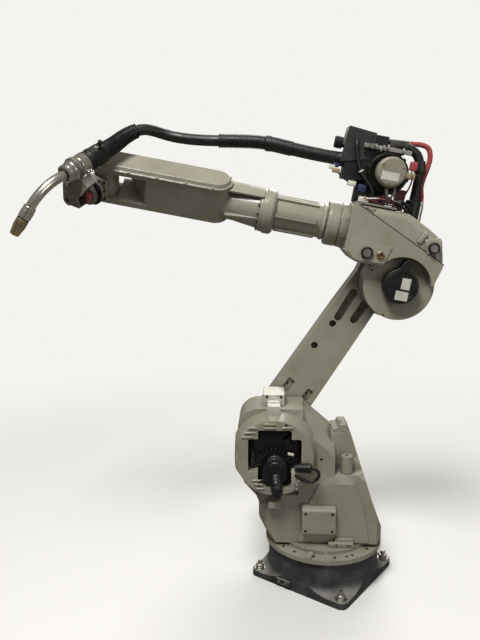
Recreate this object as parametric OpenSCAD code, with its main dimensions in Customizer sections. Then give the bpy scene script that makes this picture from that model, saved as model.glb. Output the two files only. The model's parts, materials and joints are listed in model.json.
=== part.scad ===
// Six-axis arc-welding robot arm with its torch, wire feeder and torch cable.
// Millimetres, +Z up. The origin is on the floor, on the swivel axis, and the arm points along +X.

/* [Base] */
// Distance between neighbouring floor bolts
bolt_spacing = 238; // [230:1:270]
// Diameter of the floor bolt holes
bolt_hole_d = 14; // [10:0.5:18]
// Radius of the rounded foot round each floor bolt
foot_r = 19; // [16:1:26]
// Thickness of the feet
foot_h = 16; // [10:1:24]
// Radius of the round base body
base_r = 142; // [132:1:145]
// Height of the base body
base_h = 94; // [85:1:130]
// Radius of the hollow flare between the base body and the feet
flare_r = 24; // [14:1:40]
// Turn of the base about the swivel axis
base_turn = -34; // [-90:1:90]

/* [Turntable] */
// Radius of the swivel ring
ring_r = 150; // [142:1:165]
// Height of the swivel ring
ring_h = 19; // [14:1:30]
// Radius of the raised middle of the swivel ring
ring_step_r = 117; // [100:1:135]
// Radius of the turntable's round front
turntable_r = 170; // [166:1:176]
// Distance of the near wall from the arm's middle plane
wall_y = 78; // [70:1:84]
// Distance of the far wall from the arm's middle plane
far_y = 48; // [40:1:50]
// Shoulder axis, forward of the swivel axis
shoulder_x = 130; // [120:1:145]
// Shoulder axis, height above the floor
shoulder_z = 350; // [335:1:370]
// Radius of the round shoulder cover
shoulder_r = 94; // [86:1:98]
// Distance of the shoulder cover's face from the middle plane
shoulder_face_y = 115; // [105:1:125]
// Side of the square access cover on the near wall
cover_side = 84; // [60:1:90]
// Depth of the access cover
cover_t = 20; // [8:1:26]

/* [Lower arm] */
// Distance from the shoulder axis to the elbow axis
lower_len = 510; // [480:1:560]
// Lean of the lower arm behind upright
lower_lean = 35.4; // [20:0.1:45]
// Thickness of the lower arm
lower_t = 60; // [46:1:70]
// Radius of the lower arm's shoulder end
shoulder_hub_r = 100; // [92:1:106]
// Radius of the lower arm's elbow end
elbow_hub_r = 92; // [84:1:98]
// Depth of the pockets in the lower arm's near face
pocket_depth = 22; // [8:1:30]

/* [Elbow] */
// Height of the forearm axis above the elbow axis
elbow_up = 116; // [112:1:124]
// Distance of the elbow's near face from the middle plane
elbow_near_y = 75; // [68:1:80]
// Distance of the elbow's far face from the middle plane
elbow_far_y = 46; // [40:1:48]
// Distance of the elbow motor's round seat from the middle plane
elbow_seat_y = 40; // [34:1:50]
// Radius of the round elbow hub
elbow_r = 85; // [78:1:90]
// Radius of the black elbow motor cap
elbow_cap_r = 42; // [36:1:46]
// Distance from the elbow axis to the front of the elbow casting
elbow_front_x = 150; // [144:1:160]

/* [Forearm] */
// Rise of the forearm above level
forearm_rise = 10.6; // [5:0.1:20]
// Roll of the forearm about its own axis
forearm_roll = 37.5; // [0:0.5:60]
// Distance from the elbow axis to the wrist axis, along the forearm
forearm_len = 749; // [740:1:790]
// Radius of the roll ring on the elbow
roll_r = 54; // [50:1:56]
// Length of the roll ring
roll_l = 50; // [40:1:60]
// Radius of the forearm tube
tube_r = 41; // [36:1:44]
// Radius of the collar at the end of the tube
collar_r = 55; // [50:1:58]
// Width of the belt box
box_w = 72; // [64:1:78]
// Top of the belt box above the forearm axis
box_top = 56; // [48:1:60]
// Bottom of the belt box below the forearm axis
box_bottom = 40; // [36:1:46]
// Height of the gap between the fork's two arms
fork_gap = 72; // [66:1:75]
// Height of the belt cover
belt_cover_h = 14; // [8:1:16]

/* [Wrist and torch] */
// Bend of the wrist toward the near side
wrist_bend = 65; // [0:1:80]
// Turn of the torch about the tool axis
tool_roll = -10.5; // [-30:0.5:30]
// Distance from the wrist axis to the tool flange's face
flange_x = 62; // [60:1:76]
// Radius of the tool flange
flange_r = 35; // [32:1:40]
// Distance of the torch axis from the tool axis
torch_offset = 106; // [104:1:120]
// Distance from the wrist axis to the torch clamp, along the tool axis
clamp_x = 129; // [124:1:140]
// Diameter of the torch neck
neck_d = 22; // [18:0.5:24]
// Bend radius of the torch neck
neck_bend_r = 133; // [110:1:150]
// Angle of the torch neck
neck_angle = 49; // [30:1:55]
// Diameter of the gas nozzle
nozzle_d = 25; // [24.5:0.5:28]

/* [Feeder] */
// Radius of the feed motor's cap
feed_cap_r = 34; // [30:1:38]
// Height of the feed axis above the elbow axis
feed_z = 268; // [264:1:276]
// Sideways place of the feed axis
feed_y = 20; // [14:1:26]
// Diameter of the torch cable
cable_d = 32; // [26:1:34]
// Diameter of the wire conduit
conduit_d = 28; // [22:1:32]
// Diameter of the gas hose
gas_hose_d = 9; // [6:0.5:12]

/* [Hidden] */
$fn = 64;

// Running gap at a bearing, and the small overlap that keeps a union or a cut clean
run_gap = 0.5;
eps = 0.5;

ring_z = base_h + run_gap;
deck_z = ring_z + ring_h;
lower_near_y = max(far_y, elbow_far_y) + 6;
elbow_top = elbow_up + roll_r + 2;
tube_x = elbow_front_x + roll_l + run_gap;
collar_x = elbow_front_x + 176;
collar_l = 40;
collar_end = collar_x + collar_l;
box_x = collar_end + 74;

paint = [0.56, 0.53, 0.47];
dark_iron = [0.23, 0.23, 0.22];
black = [0.07, 0.07, 0.07];
steel = [0.72, 0.72, 0.70];
grey = [0.45, 0.46, 0.47];

// Frames of the moving pieces, each at its place in the arm
module shoulder_frame() {
  translate([shoulder_x, 0, shoulder_z]) children();
}
module lower_frame() {
  shoulder_frame() rotate([0, -lower_lean, 0]) children();
}
module elbow_frame() {
  lower_frame() translate([0, 0, lower_len]) rotate([0, lower_lean - forearm_rise, 0]) children();
}
module roll_frame() {
  elbow_frame() translate([0, 0, elbow_up]) rotate([-forearm_roll, 0, 0]) children();
}
module bend_frame() {
  roll_frame() translate([forearm_len, 0, 0]) rotate([0, 0, wrist_bend]) children();
}
module tool_frame() {
  bend_frame() rotate([tool_roll, 0, 0]) children();
}

// A cylinder along Y between two places, and one along X
module y_cylinder(r, y0, y1) {
  translate([0, y1, 0]) rotate([90, 0, 0]) cylinder(r = r, h = y1 - y0);
}
module x_cylinder(r, x0, x1) {
  translate([x0, 0, 0]) rotate([0, 90, 0]) cylinder(r = r, h = x1 - x0);
}
// A turned piece along Y or X, from a profile of [radius, place] points
module y_turned(profile) {
  rotate([-90, 0, 0]) rotate_extrude() polygon(profile);
}
module x_turned(profile) {
  rotate([0, 90, 0]) rotate_extrude() polygon(profile);
}
// An outline in the XZ plane, between two places along Y
module y_slab(y0, y1) {
  translate([0, y1, 0]) rotate([90, 0, 0]) linear_extrude(y1 - y0) children();
}
// Points of an arc about a centre
function arc(c, r, a0, a1, steps = 6) = [for (k = [0 : steps])
  let (a = a0 + (a1 - a0) * k / steps) c + r * [cos(a), sin(a)]];
// A slot outline with round ends between two points
module slot_outline(a, b, w, steps = 10) {
  turn = atan2(b[1] - a[1], b[0] - a[0]);
  polygon(concat(arc(a, w / 2, turn + 90, turn + 270, steps), arc(b, w / 2, turn - 90, turn + 90, steps)));
}
// A rectangle with round corners, centred
module round_rect(w, h, r) {
  x = w / 2 - r;
  y = h / 2 - r;
  polygon(concat(arc([x, y], r, 0, 90), arc([-x, y], r, 90, 180), arc([-x, -y], r, 180, 270),
    arc([x, -y], r, 270, 360)));
}

// A tube swept along a route: Catmull-Rom points between the route's own, and a ring at each
function unit(v) = v / norm(v);
function clamp_at(p, i) = p[max(0, min(len(p) - 1, i))];
function spline(p, i, t) =
  let (a = clamp_at(p, i - 1), b = p[i], c = clamp_at(p, i + 1), d = clamp_at(p, i + 2))
  0.5 * (2 * b + (c - a) * t + (2 * a - 5 * b + 4 * c - d) * t * t + (3 * b - a - 3 * c + d) * t * t * t);
function smooth_route(p, steps) = concat(
  [for (i = [0 : len(p) - 2], k = [0 : steps - 1]) spline(p, i, k / steps)], [p[len(p) - 1]]);
function tangent(p, i) = unit(clamp_at(p, i + 1) - clamp_at(p, i - 1));
function tube_ring(p, i, r, up, sides) =
  let (t = tangent(p, i), a = unit(cross(t, up)), b = cross(t, a))
  [for (k = [0 : sides - 1]) p[i] + r * (cos(360 * k / sides) * a + sin(360 * k / sides) * b)];
module tube(route, r, up, sides = 10) {
  last = len(route) - 1;
  corners = [for (i = [0 : last]) each tube_ring(route, i, r, up, sides)];
  sheet = [for (i = [0 : last - 1], k = [0 : sides - 1])
    let (n = (k + 1) % sides, q = i * sides)
    each [[q + k, q + sides + k, q + n], [q + n, q + sides + k, q + sides + n]]];
  first_cap = [for (k = [0 : sides - 1]) k];
  last_cap = [for (k = [sides - 1 : -1 : 0]) last * sides + k];
  polyhedron(points = corners, faces = concat([first_cap], sheet, [last_cap]));
}

// Routes of the hoses, in the elbow's own directions, and of the torch cable
conduit_route = [[94, 18, 320], [70, 18, 322], [44, 17, 320], [22, 15, 310], [10, 13, 290], [5, 11, 262],
  [4, 11, 232], [4, 11, 204]];
conduit_seat = [4, 11, 160];
gas_route = [[95, -12, 324], [70, -12, 330], [40, -12, 335], [10, -12, 338], [-8, -12, 332], [-16, -12, 314],
  [-16, -12, 290], [-12, -12, 264], [-11, -12, 240], [-17, -12, 216], [-18, -12, 196]];
gas_seat = [-18, -12, 148];
cable_route = [[533.3, 91.3, 1076.9], [530.3, 87.2, 1079.5], [526.3, 81.6, 1083.1],
  [514.6, 66.5, 1097.5], [502, 54.3, 1114.5], [487.7, 42.9, 1126.1], [467.1, 28, 1134.9],
  [448.1, 15, 1137.1], [428.1, 2.9, 1134.3],
  [406.8, -5, 1128.4], [384.7, -7.9, 1122.8], [362.1, -5.8, 1118.5], [340, -0.9, 1115.1],
  [318, 4.3, 1112.7], [295.8, 8.4, 1111], [273.2, 11.1, 1110], [250.4, 12.9, 1109.2],
  [227.6, 14.2, 1108.5], [204.7, 15.3, 1107.6], [181.7, 16.5, 1106.1], [158.8, 17.5, 1103.4],
  [135.9, 18.3, 1099.3], [113.2, 18.8, 1093.9], [90.2, 19.2, 1088.5], [67.1, 19.5, 1083.2],
  [43.7, 19.7, 1078.1], [20.1, 20, 1073.4], [2, 20, 1070]];

// Base: a round body that flares hollow into four feet on a square
module base_flare(gap = 0) {
  reach = bolt_spacing * 0.75 + foot_r;
  rotate_extrude() polygon(concat([[0, 0], [reach, 0], [reach, foot_h + gap]],
    arc([base_r + flare_r, foot_h + flare_r], flare_r - gap, 270, 180, 12),
    [[base_r + gap, base_h], [0, base_h]]));
}
module base_casting() {
  side = bolt_spacing + 2 * foot_r;
  color(dark_iron) rotate([0, 0, base_turn]) difference() {
    intersection() {
      base_flare();
      linear_extrude(base_h) round_rect(side, side, foot_r);
    }
    for (sx = [-1, 1], sy = [-1, 1]) translate([sx * bolt_spacing / 2, sy * bolt_spacing / 2, 0]) {
      translate([0, 0, -eps]) cylinder(d = bolt_hole_d, h = foot_h + 2 * eps);
      translate([0, 0, foot_h]) cylinder(d = 2.2 * bolt_hole_d, h = base_h);
    }
  }
}
module connector_box() {
  box = [0.8 * base_r, 0.48 * base_r, 0.58 * base_h];
  color(dark_iron) rotate([0, 0, base_turn]) difference() {
    translate([-box[0] / 2, -base_r - 20, 0.26 * base_h]) cube(box);
    base_flare(run_gap);
  }
}

// Turntable: the swivel ring, and the casting that carries the shoulder
ring_step_h = 0.42 * ring_h;
pointer_size = [12, 30, 6];
pointer_turn = -18;
module swivel_ring() {
  rim_h = ring_h - ring_step_h;
  color(paint) translate([0, 0, ring_z]) {
    cylinder(r = ring_r, h = rim_h);
    cylinder(r = ring_step_r, h = ring_h);
    rotate([0, 0, pointer_turn])
      translate([-pointer_size[0] / 2, ring_r - pointer_size[1], rim_h - eps]) cube(pointer_size);
  }
}

// The turntable's outlines seen from the near side, with its places taken from the shoulder axis
housing_front = shoulder_x + shoulder_r - 2;
housing_top = shoulder_z + shoulder_r + 16;
housing_near = wall_y - 10;
ramp_top = [shoulder_x - 85, shoulder_z + 93];
ramp_foot = [shoulder_x - 142, shoulder_z + 45];
lug_w = 48;
wall_pad_t = 4;
lug_near_y = 40;
post_r = 15;
post_h = 46;
post_at = [shoulder_x - 180, wall_y - 17, shoulder_z - 54];
waist_z = shoulder_z - 0.42 * shoulder_z + 18;
opening_back = shoulder_face_y - 62;
module housing_outline() {
  round_r = 50;
  polygon(concat([[shoulder_x - 70, waist_z - 10], [turntable_r - 4, waist_z - 10],
    [turntable_r + 6, waist_z + 14], [housing_front - 16, shoulder_z - 82],
    [housing_front - 4, shoulder_z - 50], [housing_front, shoulder_z - 20]],
    arc([housing_front - round_r, housing_top - round_r], round_r, 0, 90, 10),
    [[shoulder_x - 70, housing_top]]));
}
module back_outline() {
  polygon([[shoulder_x - 60, deck_z], [shoulder_x - 60, housing_top], [shoulder_x - 72, housing_top],
    ramp_top, ramp_foot, ramp_foot - [lug_w, 0], [shoulder_x - 202, shoulder_z + 10],
    [shoulder_x - 245, shoulder_z - 126], [4 - ring_r, shoulder_z - 209], [4 - ring_r, deck_z]]);
}
// The slope on the near side of the ramp: all above this plane goes
module ramp_cut() {
  run = ramp_top - ramp_foot;
  translate([ramp_foot[0], 0, ramp_foot[1]]) rotate([0, -atan2(run[1], run[0]), 0]) rotate([-24, 0, 0])
    translate([-shoulder_z, -eps, 0]) cube([2 * shoulder_z, shoulder_z, shoulder_z]);
}
module turntable_back() {
  difference() {
    intersection() {
      y_slab(-far_y, wall_y) back_outline();
      translate([0, 0, deck_z]) cylinder(r = ring_r, h = shoulder_z);
    }
    ramp_cut();
    translate([-ring_r, lug_near_y, post_at[2]]) cube([ring_r + ramp_foot[0] - 8, wall_y, shoulder_z]);
  }
  y_slab(-far_y, lug_near_y) polygon([ramp_foot, ramp_foot - [lug_w, 0], [shoulder_x - 200, shoulder_z + 10],
    [shoulder_x - 200, post_at[2] - 10], [ramp_foot[0], post_at[2] - 10]]);
}
module turntable_front() {
  cone_h = 0.3 * ring_r;
  intersection() {
    translate([0, 0, deck_z]) rotate_extrude()
      polygon([[0, 0], [ring_r - 2, 0], [turntable_r, cone_h], [turntable_r, waist_z - deck_z],
        [turntable_r - 20, waist_z - deck_z + 20], [0, waist_z - deck_z + 20]]);
    translate([0, -far_y, 0]) cube([2 * turntable_r, far_y + wall_y, shoulder_z]);
  }
  y_slab(-far_y, housing_near) housing_outline();
}
module motor_opening() {
  translate([shoulder_x, shoulder_z]) {
    translate([0, 7]) round_rect(1.38 * shoulder_r, 0.88 * shoulder_r, 0.06 * shoulder_r);
    translate([0, -3]) round_rect(0.87 * shoulder_r, 1.56 * shoulder_r, 0.06 * shoulder_r);
  }
}
module turntable_casting() {
  flare = 14;
  color(paint) difference() {
    union() {
      turntable_back();
      turntable_front();
      intersection() {
        shoulder_frame() y_turned([[0, housing_near - 4], [shoulder_r + flare, housing_near - 4],
          [shoulder_r, shoulder_face_y - 6], [shoulder_r, shoulder_face_y], [0, shoulder_face_y]]);
        translate([-shoulder_z, 0, 0]) cube([shoulder_z + housing_front + 6, 2 * wall_y, 2 * shoulder_z]);
      }
      y_slab(wall_y - eps, wall_y + wall_pad_t) polygon([[shoulder_x - 112, shoulder_z - 76],
        [shoulder_x - 198, shoulder_z - 76], [shoulder_x - 222, shoulder_z - 134],
        [shoulder_x - 238, deck_z + 6], [shoulder_x - 60, deck_z + 6], [shoulder_x - 88, shoulder_z - 126]]);
    }
    y_slab(opening_back, shoulder_face_y + eps) motor_opening();
  }
}
module shoulder_motor() {
  block = [0.66 * shoulder_r, 16, 1.5 * shoulder_r];
  drop = 0.45 * shoulder_r;
  color(black) {
    translate([shoulder_x - block[0] / 2, opening_back + run_gap, shoulder_z - block[2] / 2 - 3]) cube(block);
    shoulder_frame() translate([0, 0, -drop])
      y_cylinder(0.32 * shoulder_r, opening_back + block[1], shoulder_face_y - 6);
  }
}
module shoulder_plugs() {
  plug = [24, 16, 18];
  boot = [32, 24, 20];
  color(black) {
    translate([shoulder_x - 0.9 * shoulder_r, shoulder_face_y, shoulder_z - 0.43 * shoulder_r]) cube(plug);
    translate([shoulder_x - boot[0] / 2, wall_y, waist_z - 10]) cube(boot);
  }
}
module access_cover() {
  rise = 0.74 * cover_side;
  bottom = deck_z + 35;
  y = wall_y + wall_pad_t;
  color(paint) translate([19 - cover_side / 2, 0, bottom]) rotate([90, 0, 90]) linear_extrude(cover_side)
    polygon([[y, 0], [y + cover_t, 0], [y + cover_t, rise], [y + 0.4 * cover_t, rise + 8], [y, rise + 8]]);
}
module swivel_stop() {
  bar = [62, 16, 11];
  step = [46, 9, 20];
  color(paint) translate([-68, wall_y + wall_pad_t, deck_z]) {
    cube(bar);
    cube(step);
  }
}
module shoulder_stop() {
  block = [54, 74, 30];
  tab = [32, 44, 12];
  color(steel) translate([shoulder_x - 24, -34, housing_top]) {
    cube(block);
    translate([(block[0] - tab[0]) / 2, block[1] - eps, 0]) cube(tab);
  }
}
module lifting_post() {
  lug_back = -0.6 * far_y;
  color(paint) {
    y_slab(lug_back, lug_near_y) polygon([ramp_foot + [-2, 0], ramp_foot + [-2, 8], ramp_foot + [-16, 10],
      ramp_foot + [-20, 19], ramp_foot + [-38, 19], ramp_foot - [lug_w - 4, -8], ramp_foot - [lug_w - 4, 0]]);
    translate(post_at) cylinder(r = post_r, h = post_h);
  }
}

// Lower arm: one casting on the far side, with a round end on each axis
module lower_outline() {
  circle(r = shoulder_hub_r);
  translate([0, lower_len]) circle(r = elbow_hub_r);
  polygon([[80, -40], [88, lower_len * 0.75], [elbow_hub_r - 4, lower_len], [-40, lower_len - 40],
    [-14, lower_len - 88], [-31, 112], [-70, 60]]);
}
module lower_arm() {
  color(paint) lower_frame() difference() {
    union() {
      y_slab(-lower_near_y - lower_t, -lower_near_y) lower_outline();
      y_cylinder(0.94 * shoulder_hub_r, -lower_near_y - eps, -far_y - run_gap);
      translate([0, 0, lower_len]) y_cylinder(0.7 * elbow_hub_r, -lower_near_y - eps, -elbow_far_y - run_gap);
    }
    y_slab(-lower_near_y - pocket_depth, -lower_near_y + eps) {
      slot_outline([60, lower_len - 80], [54, lower_len - 152], 22);
      slot_outline([19, lower_len - 82], [17, lower_len - 134], 22);
      translate([56, lower_len - 175]) circle(r = 9);
      translate([60, lower_len - 249]) circle(r = 9);
      translate([53, 134]) round_rect(20, 38, 4);
      translate([-4, 140]) round_rect(18, 36, 4);
    }
  }
}
cap_t = 10;
module lower_arm_caps() {
  far = -lower_near_y - lower_t;
  color(paint) lower_frame() {
    y_cylinder(0.74 * shoulder_hub_r, far - cap_t, far);
    translate([0, 0, lower_len]) y_cylinder(0.72 * elbow_hub_r, far - cap_t, far);
  }
}

// Elbow: the casting that turns on the lower arm and carries the forearm and the wire feeder
seam_front = [elbow_front_x - 12, elbow_top];
seam_rear = [-elbow_r, 69];
seam_way = unit(seam_front - seam_rear);
pad_t = 3;
cover_near_y = elbow_near_y - 2;
dome = 22;
module elbow_casting() {
  chin = [[elbow_front_x, 60], [elbow_front_x - 20, 44], [114, 37], [49, 41]];
  color(paint) elbow_frame() difference() {
    union() {
      y_slab(-elbow_far_y, elbow_near_y)
        polygon(concat([[49, 41], [40, -30], [-40, -30], [-74, 20], [-elbow_r + 2, 56], seam_rear, seam_front,
          [elbow_front_x, elbow_top]], [chin[0], chin[1], chin[2]]));
      y_slab(elbow_near_y - eps, elbow_near_y + pad_t)
        polygon([[elbow_front_x - 8, 88], chin[0] - [8, 0], chin[1] - [4, 0], chin[2] + [0, 4],
          chin[3] + [4, 4], [42, 86]]);
      y_cylinder(elbow_r, -elbow_far_y, elbow_seat_y);
    }
    y_cylinder(0.82 * elbow_r, elbow_seat_y, 2 * elbow_near_y);
    translate([-0.7 * elbow_r, elbow_seat_y, -elbow_r]) cube([1.4 * elbow_r, elbow_near_y, 0.76 * elbow_r]);
  }
}
module elbow_cover_outline(inset) {
  polygon([seam_front - inset * seam_way, [20, elbow_top - inset], [-40 + inset / 3, 142 - inset],
    [-73 + inset / 2, 122 - inset / 2], [-elbow_r + inset / 2, 77], seam_rear + inset / 2 * seam_way]);
}
module elbow_cover() {
  color(paint) elbow_frame() difference() {
    union() {
      hull() {
        y_slab(-elbow_far_y + 2, cover_near_y - dome) elbow_cover_outline(0);
        y_slab(cover_near_y - 1, cover_near_y) elbow_cover_outline(0.7 * dome);
      }
      y_slab(cover_near_y - dome, elbow_near_y + pad_t) intersection() {
        elbow_cover_outline(0);
        translate([-52, 102]) rotate(-24) square(34, center = true);
      }
    }
    translate(conduit_seat) cylinder(r = conduit_d / 2 + 4.5, h = 60);
    translate(gas_seat) cylinder(r = gas_hose_d + 0.5, h = 60);
  }
}
module elbow_motor_cap() {
  color(black) elbow_frame() y_slab(elbow_seat_y, elbow_seat_y + 30) {
    circle(r = elbow_cap_r);
    polygon([[16, 30], [2, 62], [-8, 62], [-18, 30]]);
  }
}
module elbow_plugs() {
  y = elbow_near_y + pad_t;
  color(grey) elbow_frame() {
    translate([97, 0, 63]) y_cylinder(13, y, y + 5);
    translate([65, 0, 63]) y_cylinder(9, y, y + 4);
    translate([-52, 0, 102]) y_cylinder(12, y, y + 8);
  }
}
module roll_ring() {
  x = elbow_front_x;
  groove = 3;
  color(paint) elbow_frame() translate([0, 0, elbow_up]) x_turned([[0, x], [roll_r, x],
    [roll_r, x + 0.36 * roll_l], [roll_r - groove, x + 0.36 * roll_l],
    [roll_r - groove, x + 0.42 * roll_l], [roll_r, x + 0.42 * roll_l],
    [roll_r, x + 0.9 * roll_l], [roll_r - groove, x + roll_l], [0, x + roll_l]]);
}

// Wire feeder on top of the elbow
plate_t = 5;
head_x = 60;
head_l = 128;
head_y0 = feed_y - 44;
head_y1 = feed_y + 18;
head_z0 = feed_z - 42;
head_h = 76;
motor_x = 84;
inlet_x = 96;
motor_z = feed_z - 16;
guard_t = 3;
drive_r = feed_cap_r + 14;
cap_y = head_y1 + 36;
module feeder_plate() {
  color(grey) elbow_frame() translate([50, -36, elbow_top]) cube([elbow_front_x - 56, 104, plate_t]);
}
module feeder_bracket() {
  foot_z = elbow_top + plate_t;
  post = [head_l - 50, 40, head_z0 - foot_z];
  color(black) elbow_frame() translate([head_x + 10, head_y0, foot_z]) cube(post);
}
module feed_head() {
  inlet = [30, head_y1 - head_y0 - 4, 34];
  color(black) elbow_frame() {
    translate([head_x, head_y0, head_z0]) cube([head_l, head_y1 - head_y0, head_h]);
    translate([inlet_x, head_y0 + 2, head_z0 + head_h - eps]) cube(inlet);
  }
}
module feed_motor() {
  color(grey) elbow_frame() translate([motor_x, 0, motor_z]) {
    y_cylinder(drive_r, head_y1, head_y1 + 12);
    y_cylinder(feed_cap_r - 3, head_y1 + 12 - eps, cap_y);
  }
}
module feed_motor_cap() {
  cap_t = 28;
  color(grey) elbow_frame() translate([motor_x, 0, motor_z]) y_turned([[0, cap_y], [feed_cap_r, cap_y],
    [feed_cap_r, cap_y + cap_t - 4], [feed_cap_r - 4, cap_y + cap_t], [0, cap_y + cap_t]]);
}
module feeder_bar() {
  bar = [112, 8, 10];
  color(steel) elbow_frame() translate([40, head_y1 + guard_t, motor_z + drive_r + 1]) cube(bar);
}
module feeder_guard() {
  y = head_y1;
  edge = [[193, feed_z + 76], [200, feed_z - 8]];
  bend = edge[0] + 0.55 * (edge[1] - edge[0]);
  color(black) elbow_frame() {
    y_slab(y, y + guard_t) polygon([edge[0], [127, feed_z + 70], [128, feed_z + 36], [150, feed_z + 20],
      [138, feed_z + 8], edge[1]]);
    y_slab(y - 26, y + guard_t) polygon([edge[0], edge[0] - [guard_t, 0], bend - [guard_t, 0], bend]);
  }
}
module cable_socket() {
  x = head_x + head_l;
  r = head_y1 - feed_y - run_gap;
  color(black) elbow_frame() translate([0, feed_y, feed_z])
    x_turned([[0, x], [r, x], [r, x + 10], [r - 1, x + 14], [r - 1, x + 32], [0, x + 32]]);
}
module gas_valve() {
  color("firebrick") elbow_frame() translate([26, head_y0 + 4, elbow_top]) cube([22, 34, 52]);
}
module lead_plugs() {
  color("ivory") elbow_frame() translate([116, 46, elbow_top + plate_t]) cube([24, 14, 12]);
}
module wire_conduit() {
  color(black) elbow_frame() tube(smooth_route(conduit_route, 3), conduit_d / 2, [0, 1, 0]);
}
module conduit_gland() {
  color(black) elbow_frame() translate(conduit_seat) cylinder(r = conduit_d / 2 + 4, h = 43.5);
}
module gas_hose() {
  color("firebrick") elbow_frame() tube(smooth_route(gas_route, 3), gas_hose_d / 2, [0, 1, 0], 8);
}
module gas_fitting() {
  color(steel) elbow_frame() translate(gas_seat) cylinder(r = gas_hose_d, h = 47.5);
}

// Forearm: the tube, its collar, and the fork with the belt box
rib_h = 5;
rib_w = 10;
module forearm_tube() {
  bare = 24;
  color(paint) roll_frame() {
    x_cylinder(tube_r, tube_x, collar_x);
    for (a = [0 : 60 : 300]) rotate([a, 0, 0])
      translate([tube_x + bare, -rib_w / 2, tube_r - 8])
        cube([collar_x - tube_x - bare - 1, rib_w, 8 + rib_h]);
  }
}
module forearm_collar() {
  x = collar_x;
  l = collar_l;
  neck = collar_r - 7;
  color(paint) roll_frame() x_turned([[0, x], [neck, x], [collar_r, x + 7], [collar_r, x + 0.6 * l],
    [collar_r - 3, x + 0.66 * l], [collar_r - 3, x + 0.88 * l], [neck, x + l], [0, x + l]]);
}
fork_low = 25;
module fork_outline(w) {
  slot_outline([box_x + box_w / 2, 0], [forearm_len, 0], w, 16);
}
// The recess between the fork's arms: its back wall and floor slant, so that the far side is nearly closed
module fork_recess() {
  l = forearm_len;
  w = box_w;
  floor_l = 1.42 * w;
  floor_rise = 16;
  difference() {
    translate([0, 0, -fork_low]) linear_extrude(fork_gap)
      polygon([[l + w, w], [l - 1.9 * w, w], [l - 1.48 * w, w / 2], [l - 0.72 * w, -w / 2],
        [l - 0.72 * w, -w], [l + w, -w]]);
    translate([l - 1.9 * w, 0, -fork_low]) rotate([90, 0, 90]) linear_extrude(floor_l)
      polygon([[w / 2, 0], [-w / 2 - 1, floor_rise], [-w / 2 - 1, -1], [w / 2, -1]]);
  }
}
module forearm_fork() {
  neck = collar_r - 9;
  gusset_w = 16;
  color(paint) roll_frame() difference() {
    union() {
      translate([0, 0, -box_bottom]) linear_extrude(box_top + box_bottom) fork_outline(box_w);
      x_turned([[0, collar_end], [neck, collar_end], [box_bottom - 6, box_x + 20], [0, box_x + 20]]);
      y_slab(-gusset_w / 2, gusset_w / 2)
        polygon([[collar_end, 20], [collar_end, collar_r - 2], [box_x + 20, box_top - 1], [box_x + 20, 20]]);
      for (a = [90, 180, 270]) rotate([a, 0, 0]) translate([0, 0, neck / 2]) linear_extrude(neck / 2 + 1)
        polygon([[collar_end, -gusset_w / 2], [collar_end, gusset_w / 2], [box_x + 6, 1], [box_x + 6, -1]]);
    }
    fork_recess();
  }
}
module belt_cover() {
  lip = 5;
  color(paint) roll_frame() translate([0, 0, box_top]) {
    linear_extrude(lip) fork_outline(box_w + 5);
    hull() {
      translate([0, 0, lip - eps]) linear_extrude(eps) fork_outline(box_w - 3);
      translate([0, 0, belt_cover_h - eps]) linear_extrude(eps) fork_outline(box_w - 12);
    }
  }
}

// Wrist: the hub in the fork and the barrel behind the tool flange
flange_t = 8;
module wrist_body() {
  hub_r = 0.42 * box_w;
  hub_h = fork_gap - 2 * run_gap;
  neck_r = fork_low - 2;
  barrel = [flange_x - 21, flange_x - flange_t - run_gap];
  color(paint) bend_frame() {
    translate([0, 0, run_gap - fork_low]) cylinder(r = hub_r, h = hub_h);
    x_turned([[0, 0], [neck_r, 0], [neck_r, barrel[0] - 4], [flange_r - 4, barrel[0]],
      [flange_r - 2, barrel[0] + 4], [flange_r - 2, barrel[1]], [0, barrel[1]]]);
  }
}
module tool_flange() {
  color(black) tool_frame() x_cylinder(flange_r, flange_x - flange_t, flange_x);
}

// Torch: the sensor on the flange, the bracket with its clamp, and the gun with its bent neck
plate_x = clamp_x - 12;
bracket_t = 10;
gun_r = 23;
gun_tail_x = 30;
clamp_tail_x = clamp_x - 40;
clamp_front_x = clamp_x + 20;
neck_lead = 10;
sleeve_x = 6;
sleeve_l = 22;
nozzle_l = 36;
module crash_sensor() {
  disc_t = 14;
  sensor_turn = 20;
  block = [plate_x - flange_x - disc_t, 0.9 * flange_r, 0.8 * flange_r];
  color(grey) tool_frame() {
    x_cylinder(0.82 * flange_r, flange_x, flange_x + disc_t);
    rotate([sensor_turn, 0, 0]) translate([flange_x + disc_t - eps, -block[1] / 2, -block[2] / 2])
      cube(block + [eps, 0, 0]);
  }
}
module torch_bracket() {
  lug = [-9, 4];
  lug_r = 13;
  ring_w = gun_r + 3;
  color(paint) tool_frame() translate([plate_x, 0, 0]) rotate([90, 0, 90])
  linear_extrude(bracket_t) difference() {
    union() {
      polygon([lug + [-lug_r, 0], lug + [lug_r, -4], [17, 14], [19, 0.7 * torch_offset],
        [ring_w - 2, torch_offset - 8], [2 - ring_w, torch_offset - 8], [-ring_w, 0.4 * torch_offset]]);
      translate(lug) circle(r = lug_r);
      translate([0, torch_offset]) circle(r = ring_w);
    }
    translate(lug) circle(r = 0.4 * lug_r);
  }
}
module torch_clamp() {
  band = 3;
  mid = plate_x + bracket_t;
  color(steel) tool_frame() translate([0, 0, torch_offset]) {
    x_turned([[0, clamp_tail_x], [gun_r - 2, clamp_tail_x], [gun_r, clamp_tail_x + band],
      [gun_r, plate_x - 2 * band], [gun_r - band, plate_x - band], [gun_r - band, plate_x], [0, plate_x]]);
    x_turned([[0, mid], [gun_r - 1, mid], [gun_r - 1, mid + 2 * band], [gun_r - band, mid + 3 * band],
      [gun_r - band, clamp_front_x - band], [gun_r - 3 * band, clamp_front_x], [0, clamp_front_x]]);
  }
}
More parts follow.
